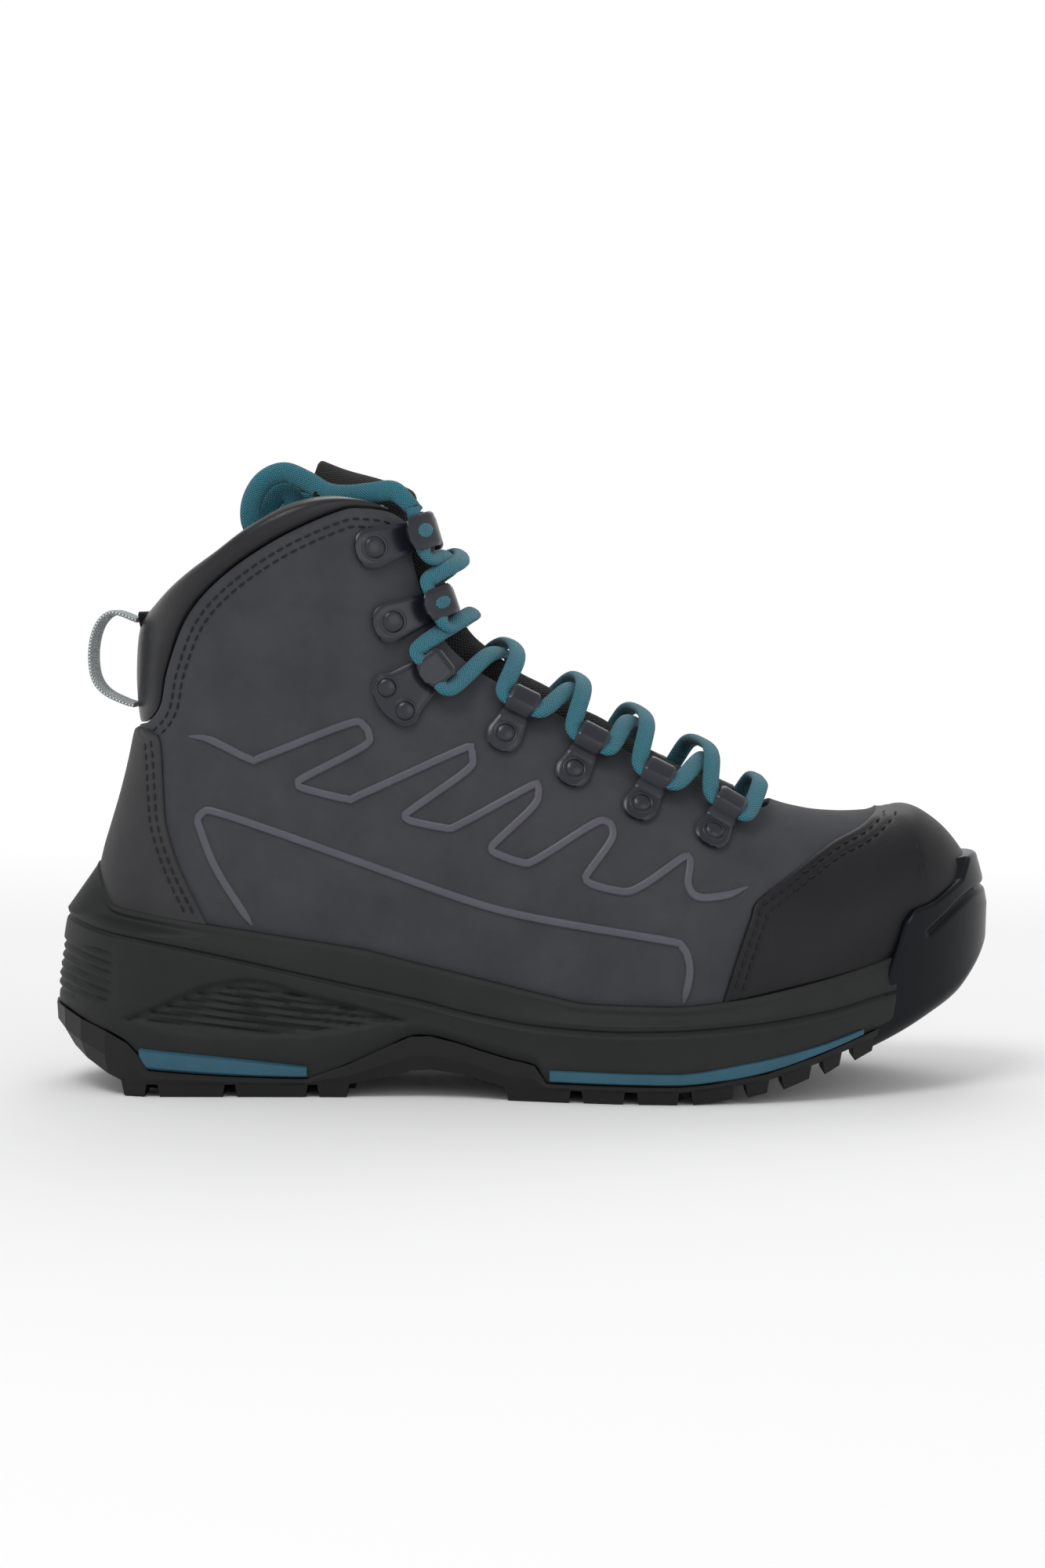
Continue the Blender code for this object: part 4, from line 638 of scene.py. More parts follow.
# Each finish: its slot, how far its tones lie from its colour, the values of SOCKETS, and its
# grain, the grain's depth and its mottle in millimetres. Grains finer than 0.5 mm are drawn at
# 0.5 mm, so that they show. A finish with no grain is woven.
FINISHES = {
    # Nubuck, sanded: an even, velvety grey with a fine nap and no shine
    "nubuck": ("nubuck", 0.07, (0.74, 0.18, 0.05, 0.0, 0.0), (0.55, 0.10, 14.0)),
    # Polyurethane-coated leather, rolled: near black, smooth, with a broad soft highlight
    "coated": ("overlay", 0.10, (0.46, 0.22, 0.0, 0.0, 0.0), (0.9, 0.10, 20.0)),
    # Microfibre, pressed to shape: dark grey, finely pebbled, almost matt
    "counter": ("counter", 0.06, (0.62, 0.20, 0.03, 0.0, 0.0), (0.7, 0.08, 12.0)),
    # Nylon lining, stretched over foam: black with a gleam along its swell
    "satin": ("lining", 0.10, (0.36, 0.32, 0.05, 0.0, 0.0), (1.6, 0.10, 18.0)),
    # Polyester spacer mesh, knitted: a matt black net of small holes, with painted shade where the
    # weave lies low
    "mesh": ("lining", 0.30, (0.85, 0.20, 0.05, 0.0, 0.0), None),
    # EVA foam, moulded in a textured tool: dark, dull and a little grainy
    "foam": ("midsole", 0.08, (0.60, 0.24, 0.0, 0.0, 0.0), (0.9, 0.10, 16.0)),
    # Carbon rubber, moulded: black, with a low shine on its edges
    "tread": ("rubber", 0.15, (0.52, 0.28, 0.0, 0.0, 0.0), (0.8, 0.10, 18.0)),
    # Smooth rubber, moulded in a polished tool: blue-black with a soft gloss
    "bumper": ("bumper", 0.12, (0.32, 0.15, 0.0, 0.03, 0.0), (2.0, 0.05, 24.0)),
    # TPU, moulded in colour: even teal with a slight gloss
    "stripe": ("accent", 0.06, (0.45, 0.35, 0.0, 0.0, 0.0), (1.0, 0.08, 20.0)),
    # Powder-coated steel sheet, pressed: dark, with small sharp glints on its bends
    "powder": ("hardware", 0.08, (0.30, 0.45, 0.0, 0.12, 0.20), (0.5, 0.04, 8.0)),
    # Polyester lace, braided: teal, with painted highlight where threads cross and painted shade
    # between them
    "braid": ("lace", 0.22, (0.66, 0.30, 0.12, 0.0, 0.0), None),
    # Polyester webbing, woven: pale grey with a coarse even weave, with painted shade between its
    # threads
    "webbing": ("webbing", 0.30, (0.75, 0.35, 0.25, 0.0, 0.0), None),
    # Polyurethane film, welded on: a smooth line, a little lighter than the nubuck
    "weld": ("nubuck", 0.04, (0.42, 0.35, 0.0, 0.0, 0.0), (1.0, 0.03, 12.0)),
    # Bonded nylon thread, sewn: black, dull dashes
    "thread": ("nubuck", 0.15, (0.60, 0.25, 0.05, 0.0, 0.0), (0.5, 0.05, 6.0)),
    # Acetate film, shrunk on: dark and glossy
    "tip": ("lace", 0.05, (0.30, 0.40, 0.0, 0.1, 0.0), (1.0, 0.02, 8.0)),
}
MESH_PITCH = 1.6        # from one hole to the next
MESH_DEPTH = 0.5
THREAD_DEPTH = 0.35     # of braid and webbing, between crossings


def linear(hex_colour):
    """sRGB hex to linear: c / 12.92 below 0.04045, else ((c + 0.055) / 1.055) ^ 2.4."""
    parts = [int(hex_colour[k:k + 2], 16) / 255 for k in (0, 2, 4)]
    return [c / 12.92 if c <= 0.04045 else ((c + 0.055) / 1.055) ** 2.4 for c in parts] + [1.0]


def add(tree, kind, inputs=None, **settings):
    """Adds a node, sets its properties, and fills or links its inputs."""
    node = tree.nodes.new(kind)
    for name, value in settings.items():
        setattr(node, name, value)
    for name, value in (inputs or {}).items():
        socket = node.inputs[name]
        if isinstance(value, bpy.types.NodeSocket):
            tree.links.new(value, socket)
        else:
            socket.default_value = value
    return node


def two_tones(tree, factor, dark, light):
    """A colour between two hex values."""
    ramp = add(tree, "ShaderNodeValToRGB", {"Fac": factor})
    ramp.color_ramp.elements[0].color = linear(dark)
    ramp.color_ramp.elements[1].color = linear(light)
    ramp.color_ramp.elements[0].position, ramp.color_ramp.elements[1].position = 0.3, 0.7
    return ramp.outputs["Color"]


def coordinates(tree, kind, scale):
    """Object or UV coordinates in periods of a size in millimetres (Object is in metres)."""
    source = add(tree, "ShaderNodeTexCoord").outputs[kind]
    factor = 1000.0 if kind == "Object" else 1.0
    return add(tree, "ShaderNodeMapping",
               {"Vector": source, "Scale": tuple(factor / size for size in scale)}).outputs[0]


def grained(tree, shader, grain_mm, depth_mm, mottle_mm, dark, light):
    """Mottled colour and a grain bump, both worked out from sizes in millimetres."""
    patches = coordinates(tree, "Object", [mottle_mm] * 3)
    mottle = add(tree, "ShaderNodeTexNoise",
                 {"Vector": patches, "Scale": 1.0, "Detail": 4.0, "Roughness": 0.6})
    tree.links.new(two_tones(tree, mottle.outputs["Fac"], dark, light), shader.inputs["Base Color"])
    grain = add(tree, "ShaderNodeTexNoise", {"Vector": coordinates(tree, "Object", [grain_mm] * 3),
                                             "Scale": 1.0, "Detail": 3.0, "Roughness": 0.65})
    bump = add(tree, "ShaderNodeBump", {"Height": grain.outputs["Fac"], "Strength": 1.0,
                                        "Distance": depth_mm * MM})
    tree.links.new(bump.outputs[0], shader.inputs["Normal"])


def woven(tree, shader, pitch_mm, depth_mm, skew, dark, light):
    """A diagonal weave at a thread pitch: |sin(pi (u + v)) * sin(pi (u - v))|, v times a skew."""
    at = add(tree, "ShaderNodeSeparateXYZ", {0: coordinates(tree, "UV", [pitch_mm] * 3)})
    v = add(tree, "ShaderNodeMath", {0: at.outputs[1], 1: skew}, operation="MULTIPLY")
    waves = []
    for how in ("ADD", "SUBTRACT"):
        slant = add(tree, "ShaderNodeMath", {0: at.outputs[0], 1: v.outputs[0]}, operation=how)
        phase = add(tree, "ShaderNodeMath", {0: slant.outputs[0], 1: math.pi}, operation="MULTIPLY")
        waves.append(add(tree, "ShaderNodeMath", {0: phase.outputs[0]}, operation="SINE"))
    both = add(tree, "ShaderNodeMath", {k: wave.outputs[0] for k, wave in enumerate(waves)},
               operation="MULTIPLY")
    height = add(tree, "ShaderNodeMath", {0: both.outputs[0]}, operation="ABSOLUTE").outputs[0]
    # The colour follows the weave's height: painted shade in its hollows and painted highlight on
    # its crossings
    tree.links.new(two_tones(tree, height, dark, light), shader.inputs["Base Color"])
    bump = add(tree, "ShaderNodeBump", {"Height": height, "Strength": 1.0,
                                        "Distance": depth_mm * MM})
    tree.links.new(bump.outputs[0], shader.inputs["Normal"])


def tones_of(name):
    """The dark and light tone of a finish: its chosen colour, a little down and a little up."""
    spread = FINISHES[name][1]
    colour = getattr(bpy.context.scene.boot_looks, name)
    tones = []
    for factor in (1 - spread, 1 + spread):
        srgb = [12.92 * c if c <= 0.0031308 else 1.055 * c ** (1 / 2.4) - 0.055 for c in colour]
        tones.append("".join(f"{min(255, max(0, round(c * factor * 255))):02x}" for c in srgb))
    return tones


def finish_of(name):
    """The material of a finish, made once, its name kept apart from the solids' own materials."""
    found = bpy.data.materials.get(f"{name}_finish")
    if found:
        return found
    made = bpy.data.materials.new(f"{name}_finish")
    made.use_nodes = True
    tree = made.node_tree
    shader = tree.nodes["Principled BSDF"]
    _, _, values, grain = FINISHES[name]
    for socket, value in zip(SOCKETS, values):
        shader.inputs[socket].default_value = value
    if grain:
        grained(tree, shader, *grain, *tones_of(name))
    else:
        threads = bpy.context.scene.boot_looks.thread_pitch * 1000
        weave = {"braid": (threads, THREAD_DEPTH, 1.0),
                 "webbing": (threads * 1.2, THREAD_DEPTH, 0.6),
                 "mesh": (MESH_PITCH, MESH_DEPTH, 1.0)}[name]
        woven(tree, shader, *weave, *tones_of(name))
    return made


# Upper

# Rows of stitches beside each seam, from the seam, in millimetres; minus lies to its right
TOP_ROWS = (-3.2, -5.6)
CAP_ROWS = (-2.4, -4.8)
BACK_ROWS = (-2.2, -4.4)
# How far a row draws in the nubuck, and an overlay
ROW_DEPTH, OVERLAY_ROW_DEPTH = 0.16, 0.20
OVERLAY_WALL = 0.9


def to_the_left(line):
    """Unit directions square to a side-view line, to the left of its run."""
    along = np.gradient(line, axis=0)
    off = np.stack([-along[:, 1], along[:, 0]], -1)
    return off / np.linalg.norm(off, axis=1, keepdims=True)


def stitch_lines():
    """The side-view lines that stitches follow: each seam, moved sideways by each row."""
    seams = ((side_line(QUARTER_EDGE)[4:], TOP_ROWS), (side_line(CAP_SEAM), CAP_ROWS),
             (side_line(COUNTER_SEAM)[14:], BACK_ROWS))
    return [line + to_the_left(line) * row for line, rows in seams for row in rows]


def upper_relief(x, z):
    """Outward shift of the quarter: flex creases as soft troughs, and a groove for each seam."""
    depth = bpy.context.scene.boot_looks.crease_depth * 1000
    inside = np.clip(1.6 * (1 - edge_level(x, z)), 0, 1)
    ankle = (x + 0.16 * (z - place_z(0.70)) - place_x(0.37)) / LENGTH
    flex = (x - 0.5 * (z - place_z(0.40)) - place_x(0.70)) / LENGTH
    up = z / HEIGHT
    creases = (-0.9 * bump_at(ankle + 0.10 * (up - 0.7) ** 2, 0.00, 0.012) * bump_at(up, 0.72, 0.16)
               + 0.5 * bump_at(ankle, 0.03, 0.016) * bump_at(up, 0.70, 0.18)
               - 0.6 * bump_at(flex + 0.3 * (up - 0.35) ** 2, 0.00, 0.010) * bump_at(up, 0.38, 0.10)
               + 0.4 * bump_at(flex, 0.024, 0.012) * bump_at(up, 0.38, 0.10)
               - 0.5 * bump_at(flex, 0.050, 0.010) * bump_at(up, 0.40, 0.09))
    soft = 0.30 * np.sin(x / 17 + z / 29) * np.sin(z / 23 - x / 41)
    return (creases * depth + soft * 0.6) * inside


class BOOT_OT_upper(bpy.types.Operator):
    """The quarters and vamp: the last's height field on a grid, both sides in one ring"""
    bl_idname = "boot.upper"
    bl_label = "Upper"

    def execute(self, context):
        grid = relaxed(upper_grid(210, 84), 360)
        x, z = grid[..., 0], grid[..., 1]
        out = upper_relief(x, z)
        for line in stitch_lines():
            out = out - ROW_DEPTH * bump_at(away_from(line, x, z), 0.0, 0.9)
        ring = round_last(x, z, out, True)
        piece("upper_shell", [shell(ring, (True, False))], "nubuck", ["upper"], WALL)
        return {"FINISHED"}


def overlay_columns(line, outline, count, rows):
    """Grid (column, row) between a seam and the side view's outline, row by row."""
    rows = np.linspace(0, 1, rows)
    share = (1 - np.cos(np.linspace(0, math.pi, count))) / 2
    start, end = even(line, rows)[None], even(outline, rows)[None]
    return start + (end - start) * share[:, None, None]


def overlay_edge(grid, line, thick, fit):
    """How far out an overlay lies: up from its fit over a round edge of its own thickness."""
    gap = away_from(line, grid[..., 0], grid[..., 1])
    rise = np.sqrt(1 - (1 - np.clip(gap / thick, 0, 1)) ** 2)
    return fit + thick * rise


class BOOT_OT_overlays(bpy.types.Operator):
    """Toe cap and heel counter: sheets between their seam and the outline, with round edges"""
    bl_idname = "boot.overlays"
    bl_label = "Toe cap and heel counter"

    def execute(self, context):
        seam = side_line(CAP_SEAM, 16)
        level = edge_level(seam[:, 0], seam[:, 1])
        top = int(np.argmax(level > 1)) if (level > 1).any() else len(seam) - 1
        seam = seam[:top + 1]
        seam = seam[seam[:, 1] > line_z(SOLE_TOP, seam[:, 0]) - 1.2]
        pivot = np.array([place_x(0.80), place_z(0.28)])
        crossing = seam[-1] - pivot
        foot_z = line_z(SOLE_TOP, place_x(0.93))
        tip = np.array([float(tip_x(foot_z)), foot_z])
        angles = [math.atan2(p[1], p[0]) for p in (tip - pivot, crossing)]
        outline = outline_at(pivot, np.linspace(angles[0], angles[1], 200))
        grid = overlay_columns(seam, outline, 120, 90)
        fit = 1.5 * GAP
        low = np.clip(grid[..., 1] - line_z(SOLE_TOP, grid[..., 0]), 0, None)
        out = overlay_edge(grid, seam, OVERLAY, fit) - 0.25 * bump_at(low, 0, 1.0)
        for row in CAP_ROWS:
            out = out - OVERLAY_ROW_DEPTH * bump_at(
                away_from(seam, grid[..., 0], grid[..., 1]), -row, 0.8)
        ridge = ease((edge_level(grid[..., 0], grid[..., 1]) - 0.93) / 0.07)
        near = ease(1 - away_from(seam, grid[..., 0], grid[..., 1]) / 14.0)
        out = out * (1 - 0.65 * ridge * near)
        ring = round_last(grid[..., 0], grid[..., 1], out, False)
        piece("toe_cap_skin", [shell(ring)], "coated", ["toe_cap"], OVERLAY_WALL)

        seam = side_line(COUNTER_SEAM, 12)
        seam = seam[(seam[:, 1] > line_z(SOLE_TOP, seam[:, 0]) - 1.0)
                    & (seam[:, 1] < place_z(0.612))][::-1]
        back_z = np.linspace(line_z(SOLE_TOP, place_x(0.075)), place_z(0.612), 120)
        outline = np.stack([heel_x(back_z), back_z], -1)
        grid = overlay_columns(seam, outline, 60, 70)
        edge = np.vstack([seam, [[place_x(0.09), place_z(0.612)]]])
        out = overlay_edge(grid, edge, OVERLAY, fit)
        for row in BACK_ROWS:
            out = out - OVERLAY_ROW_DEPTH * bump_at(
                away_from(seam, grid[..., 0], grid[..., 1]), -row, 0.8)
        ring = round_last(grid[..., 0], grid[..., 1], out, False)
        piece("heel_counter_skin", [shell(ring)], "counter", ["heel_counter"], OVERLAY_WALL)
        return {"FINISHED"}


def on_side_path(line, side, out):
    """A side-view line laid on the last, with the outward direction at each point."""
    at = outward(line[:, 0], line[:, 1], side, np.full(len(line), float(out)))
    above = outward(line[:, 0], line[:, 1], side, np.full(len(line), out + 1.0))
    return at, above - at


RIB_WIDTH = 2.8
RIB_HEIGHT = 0.8
ZIGZAG = ((234, 941), (263, 945), (316, 970), (331, 967), (442, 924), (462, 926), (469, 938),
          (462, 953), (384, 994), (378, 1001), (384, 1007), (442, 1021), (457, 1016), (588, 957),
          (600, 958), (602, 967), (595, 984), (520, 1037), (518, 1044), (525, 1049), (568, 1057),
          (583, 1054), (677, 1004), (686, 1005), (687, 1013), (680, 1030), (631, 1076),
          (628, 1083), (631, 1088), (665, 1100), (685, 1096), (757, 1052), (776, 1050),
          (782, 1059), (779, 1074), (750, 1113), (748, 1120), (753, 1126), (782, 1134),
          (811, 1133), (869, 1096), (879, 1095), (881, 1104), (878, 1128), (891, 1143),
          (927, 1142), (956, 1132))
TRAPEZOID = ((318, 1184), (273, 1113), (251, 1059), (248, 1048), (253, 1040), (268, 1037),
             (345, 1062), (442, 1096), (588, 1147), (685, 1171), (849, 1197), (868, 1204),
             (876, 1216), (879, 1239), (871, 1278))


def from_side_chart(points, depth=-40.0):
    """Charted points of the side view to (x, z) in millimetres, at a depth in front."""
    scale = 0.25 * (950 + depth) / 950
    chart = np.array(points, float)
    return np.stack([(chart[:, 0] - 665) * scale, 150 + (779 - chart[:, 1]) * scale], -1)


class BOOT_OT_welds(bpy.types.Operator):
    """The welded lines on the quarters: a flat half round carried along each charted line"""
    bl_idname = "boot.welds"
    bl_label = "Welded lines"

    def execute(self, context):
        shells = []
        across = np.linspace(-1, 1, 9)
        for chart in (ZIGZAG, TRAPEZOID):
            line = even(spline(from_side_chart(chart), 5), np.linspace(0, 1, 40 + 6 * len(chart)))
            off = to_the_left(line)
            share = np.linspace(0, 1, len(line))
            end = np.clip(np.minimum(share, 1 - share) / 0.02, 0.05, 1) ** 0.5
            for side in (-1, 1):
                rings = []
                for t in across:
                    spot = line + off * (t * RIB_WIDTH / 2 * end[:, None])
                    lift = upper_relief(spot[:, 0], spot[:, 1])
                    height = -0.25 + (0.25 + RIB_HEIGHT * end) * np.sqrt(max(1 - t**4, 0))
                    rings.append(outward(spot[:, 0], spot[:, 1], side, lift + height))
                shells.append(shell(np.stack(rings, 1), (False, True), True))
        piece("welded_lines", shells, "weld")
        return {"FINISHED"}


# A stitch: half its length as a share of the pitch, half its width and half its thickness
STITCH_LONG, STITCH_WIDE, STITCH_THICK = 0.40, 0.34, 0.26
# A row ends short of the ridge, where it would meet the other side's
ROW_END = 0.985


class BOOT_OT_stitching(bpy.types.Operator):
    """Thread on the seams: short fat capsules laid end to end along each stitch line"""
    bl_idname = "boot.stitching"
    bl_label = "Stitching"

    def execute(self, context):
        pitch = context.scene.boot_looks.stitch_pitch * 1000
        turn = np.linspace(0, 2 * math.pi, 6, endpoint=False)
        steps = np.array([-1.0, -0.72, 0.0, 0.72, 1.0])
        swell = np.array([0.15, 0.8, 1.0, 0.8, 0.15])
        shells = []
        heights = ([0.12] * len(TOP_ROWS)
                   + [OVERLAY + 0.5] * (len(CAP_ROWS) + len(BACK_ROWS)))
        for line, height in zip(stitch_lines(), heights):
            line = line[edge_level(line[:, 0], line[:, 1]) < ROW_END]
            line = line[line[:, 1] > line_z(SOLE_TOP, line[:, 0]) + 1.5]
            length = np.linalg.norm(np.diff(line, axis=0), axis=1).sum()
            count = int(length / pitch)
            at = even(line, (np.arange(count) + 0.5) / count)
            ahead = even(line, (np.arange(count) + 0.6) / count)
            for side in (-1, 1):
                middle, up = on_side_path(at, side, height)
                front, _ = on_side_path(ahead, side, height)
                along = front - middle
                along /= np.maximum(np.linalg.norm(along, axis=1, keepdims=True), 1e-9)
                across = np.cross(along, up)
                grid = (middle[:, None, None]
                        + along[:, None, None] * (steps * STITCH_LONG * pitch)[None, :, None, None]
                        + (across[:, None, None] * np.cos(turn)[None, None, :, None] * STITCH_WIDE
                           + up[:, None, None] * np.sin(turn)[None, None, :, None] * STITCH_THICK)
                        * swell[None, :, None, None])
                shells += [shell(one, (False, True), True) for one in grid]
        piece("seam_thread", shells, "thread")
        return {"FINISHED"}


# Collar, tongue, loop

def collar_rings(count):
    """Rings round the padded rim, from the lateral front round the heel to the medial front."""
    share = 1 - (1 - np.linspace(0, 1, count)) ** 1.6
    low_line, top_line = side_line(QUARTER_EDGE)[::-1], side_line(RIM)[::-1]
    low_line = low_line[low_line[:, 0] < place_x(COLLAR_FRONT)]
    top_line = top_line[top_line[:, 0] < place_x(COLLAR_FRONT)]
    low, top = even(low_line, share), even(top_line, share)
    along = np.gradient(low, axis=0)
    lift = np.stack([along[:, 1], -along[:, 0]], -1) / np.linalg.norm(along, axis=1)[:, None]
    puff = 0.5 * (1 + np.cos(np.clip(share * 3.0, 0, 1) * math.pi + math.pi))
    rows = ((low + lift * 0.8, -0.4), (low * 0.85 + top * 0.15 + lift * 0.6, 0.9),
            (low * 0.5 + top * 0.5, 1.6), (low * 0.15 + top * 0.85, 0.6),
            (top, -0.4 * COLLAR_PAD), (low * 0.1 + top * 0.9, -0.92 * COLLAR_PAD),
            (low - (0, 3), -COLLAR_PAD - 1.0), (low - (0, COLLAR_DEPTH), -0.8 * COLLAR_PAD),
            (low - (0, COLLAR_DEPTH), -WALL - 0.6), (low + lift * 0.8, -WALL - 0.6))
    rings = []
    for line, out in rows:
        shift = heel_x(line[:, 1]) - heel_x(low[:, 1]) if line is not top else 0
        x = np.maximum(line[:, 0] + shift * (line[:, 1] < low[:, 1]), heel_x(line[:, 1]))
        width = half_width(x, line[:, 1])
        width[-1] = 0
        lateral = np.stack([x, spine(x) - width, line[:, 1]], -1)
        medial = np.stack([x, spine(x) + width, line[:, 1]], -1)[::-1][1:]
        path = np.vstack([lateral, medial])
        flat = np.gradient(path[:, :2], axis=0)
        flat /= np.linalg.norm(flat, axis=1, keepdims=True)
        swell = out * np.concatenate([puff, puff[::-1][1:]]) if out > 0 else out
        path[:, :2] += np.stack([-flat[:, 1], flat[:, 0]], -1) * np.broadcast_to(
            swell, len(path))[:, None]
        rings.append(path)
    return np.stack(rings, 1)


class BOOT_OT_collar(bpy.types.Operator):
    """The padded rim: a closed ring profile carried round the mouth and drawn smooth"""
    bl_idname = "boot.collar"
    bl_label = "Collar"

    def execute(self, context):
        rings = collar_rings(60)
        smooth_rings = refine(rings.transpose(1, 0, 2), 4, True).transpose(1, 0, 2)
        piece("collar_pad", [shell(smooth_rings, (False, True), True)], "satin",
                        ["collar"])
        return {"FINISHED"}


# The tongue's top as it leans back: x, z, turn in degrees, share of its width
TONGUE_BACK = ((0.372, 0.990, 24, 0.97), (0.345, 1.004, 46, 0.92), (0.315, 1.018, 62, 0.84),
               (0.288, 1.034, 58, 0.72))


class BOOT_OT_tongue(bpy.types.Operator):
    """The tongue: a padded strip under the instep's curve that turns back at the top"""
    bl_idname = "boot.tongue"
    bl_label = "Tongue"

    def execute(self, context):
        across = np.linspace(-1, 1, 33)
        rings = []
        for share in np.linspace(TONGUE_START, TONGUE_TURN, 60):
            open_part = np.clip((0.52 - share) / 0.08, 0, 1)
            half = TONGUE_WIDTH / 2 * (0.86 + 0.14 * np.clip(share / 0.3, 0, 1))
            quilt = 0.35 * math.cos(share * 75.0) * (1 - across**2)
            crown = open_part * (1.5 * (1 - across**2) ** 2 + quilt)
            round_off = np.sqrt(np.maximum(1 - across**8, 0))
            middle = -WALL - TONGUE_FIT - 0.5 * TONGUE_THICK * (1 - 0.25 * across**4)
            outer = over_instep(share, across * half,
                                middle + round_off * 0.5 * TONGUE_THICK + crown)
            inner = over_instep(share, across * half, middle - round_off * 0.5 * TONGUE_THICK)
            rings.append(np.vstack([outer, inner[::-1]]))
        last = rings[-1]
        centre = last.mean(0)
        turned = []
        for x, z, turn, squeeze in TONGUE_BACK:
            angle = math.radians(turn)
            ring = (last - centre) * (1.0, squeeze, 1.0)
            ring = np.stack([ring[:, 0] * math.cos(angle) - ring[:, 2] * math.sin(angle),
                             ring[:, 1],
                             ring[:, 0] * math.sin(angle) + ring[:, 2] * math.cos(angle)], -1)
            turned.append(ring + (place_x(x), centre[1], place_z(z)))
        top = refine(np.array([rings[-2], last] + turned), 6)[6:]
        grid = np.concatenate([np.array(rings[:-1]), top])
        step = grid[-1].mean(0) - grid[-3].mean(0)
        step /= np.linalg.norm(step)
        for shrink, ahead in ((0.95, 0.8), (0.78, 1.6), (0.45, 2.1), (0.05, 2.25)):
            middle = top[-1].mean(0)
            thin = (top[-1] - middle) * (shrink ** 0.3, 0.5 + 0.5 * shrink, shrink)
            grid = np.concatenate([grid, (middle + thin + step * ahead)[None]])
        piece("tongue_pad", [shell(grid, (False, True), True)], "mesh", ["tongue"])
        return {"FINISHED"}


class BOOT_OT_pull_loop(bpy.types.Operator):
    """The heel loop: a flat webbing section with round edges carried along its path"""
    bl_idname = "boot.pull_loop"
    bl_label = "Pull loop"

    def execute(self, context):
        path = spline([(place_x(x), place_z(z)) for x, z in PULL_LOOP], 10)
        path = np.stack([path[:, 0], np.zeros(len(path)), path[:, 1]], -1)
        along = np.gradient(path, axis=0)
        along /= np.linalg.norm(along, axis=1, keepdims=True)
        across = np.array([0.0, 1.0, 0.0])
        up = np.cross(along, across)
        turn = np.linspace(0, 2 * math.pi, 40, endpoint=False)
        wide = np.sign(np.cos(turn)) * np.abs(np.cos(turn)) ** 0.35 * WEBBING_WIDTH / 2
        tall = np.sign(np.sin(turn)) * np.abs(np.sin(turn)) ** 0.6 * WEBBING / 2
        grid = (path[:, None] + across * wide[None, :, None] + up[:, None] * tall[None, :, None])
        piece("pull_webbing", [shell(grid, (False, True), True)], "webbing", ["pull_loop"])
        return {"FINISHED"}


# Hardware

def plate(frame_at, side, rows, per_span=5):
    """A sheet strip bent along rows (along, height, half width), its edges rounded."""
    rows = refine(np.array(rows, float), per_span)
    direction = np.gradient(rows[:, :2], axis=0)
    direction /= np.maximum(np.linalg.norm(direction, axis=1, keepdims=True), 1e-9)
    off = np.stack([-direction[:, 1], direction[:, 0]], -1)
    across = np.linspace(-1, 1, 13)
    thick = METAL / 2 * np.sqrt(1 - np.abs(across) ** 10)
    rings = []
    for sign, order in ((1, slice(None)), (-1, slice(None, None, -1))):
        for t, half_thick in zip(across[order], thick[order]):
            along = rows[:, 0] + sign * off[:, 0] * half_thick
            height = rows[:, 1] + sign * off[:, 1] * half_thick
            rings.append((along, t * rows[:, 2], height))
    point, long_axis, cross_axis = frame_at
    grid = []
    for along, over, height in rings:
        at = point + along[:, None] * long_axis + over[:, None] * cross_axis
        grid.append(outward(at[:, 0], at[:, 2], side, height))
    return shell(np.stack(grid, 1), (False, True), True)


# A rivet's head as (radius, height): a washer's rim, a groove and a dome
RIVET_PROFILE = ((0.55, 0.0), (0.55, 0.35), (0.52, 0.55), (0.47, 0.58), (0.44, 0.5),
                 (0.42, 0.6), (0.38, 1.05), (0.27, 1.42), (0.12, 1.60), (0.01, 1.64))


def rivet(frame_at, side, along, across, wide=1.0):
    """A domed head with a rim: rings of (radius, height) turned about the plate's normal."""
    point, long_axis, cross_axis = frame_at
    at = point + along * long_axis + across * cross_axis
    low = SEAT + 0.6 * METAL
    foot = outward(at[0], at[2], side, low)
    axis = outward(at[0], at[2], side, low + 1.0) - foot
    one = np.cross(axis, long_axis)
    one /= np.linalg.norm(one)
    two = np.cross(axis, one)
    turn = np.linspace(0, 2 * math.pi, 32, endpoint=False)
    radius, height = refine(np.array(RIVET_PROFILE), 3).T[..., None, None]
    circle = one * np.cos(turn)[:, None] + two * np.sin(turn)[:, None]
    grid = foot + height * axis + (radius * RIVET * wide) * circle
    return shell(grid, (False, True), True)


def eye(frame_at, side, along, radius):
    """The lace hole in a hook's face: circles about a point of its seat, laid on the upper's curve
    at the face's height."""
    point, long_axis, cross_axis = frame_at
    face = SEAT + METAL + HOOK_RISE
    turn = np.linspace(0, 2 * math.pi, 32, endpoint=False)
    grid = []
    for share, out in ((1.0, -0.15), (1.0, 0.06), (0.92, 0.15), (0.5, 0.15), (0.02, 0.15)):
        at = (point + (along + share * radius * np.cos(turn))[:, None] * long_axis
              - side * (share * radius * np.sin(turn))[:, None] * cross_axis)
        grid.append(outward(at[:, 0], at[:, 2], side, face + out))
    return shell(np.array(grid), (False, True), True)


# The hole in a hook's face: how far it lies from the face's end, and its radius
EYE_BACK, EYE_RADIUS = 3.8, 2.0


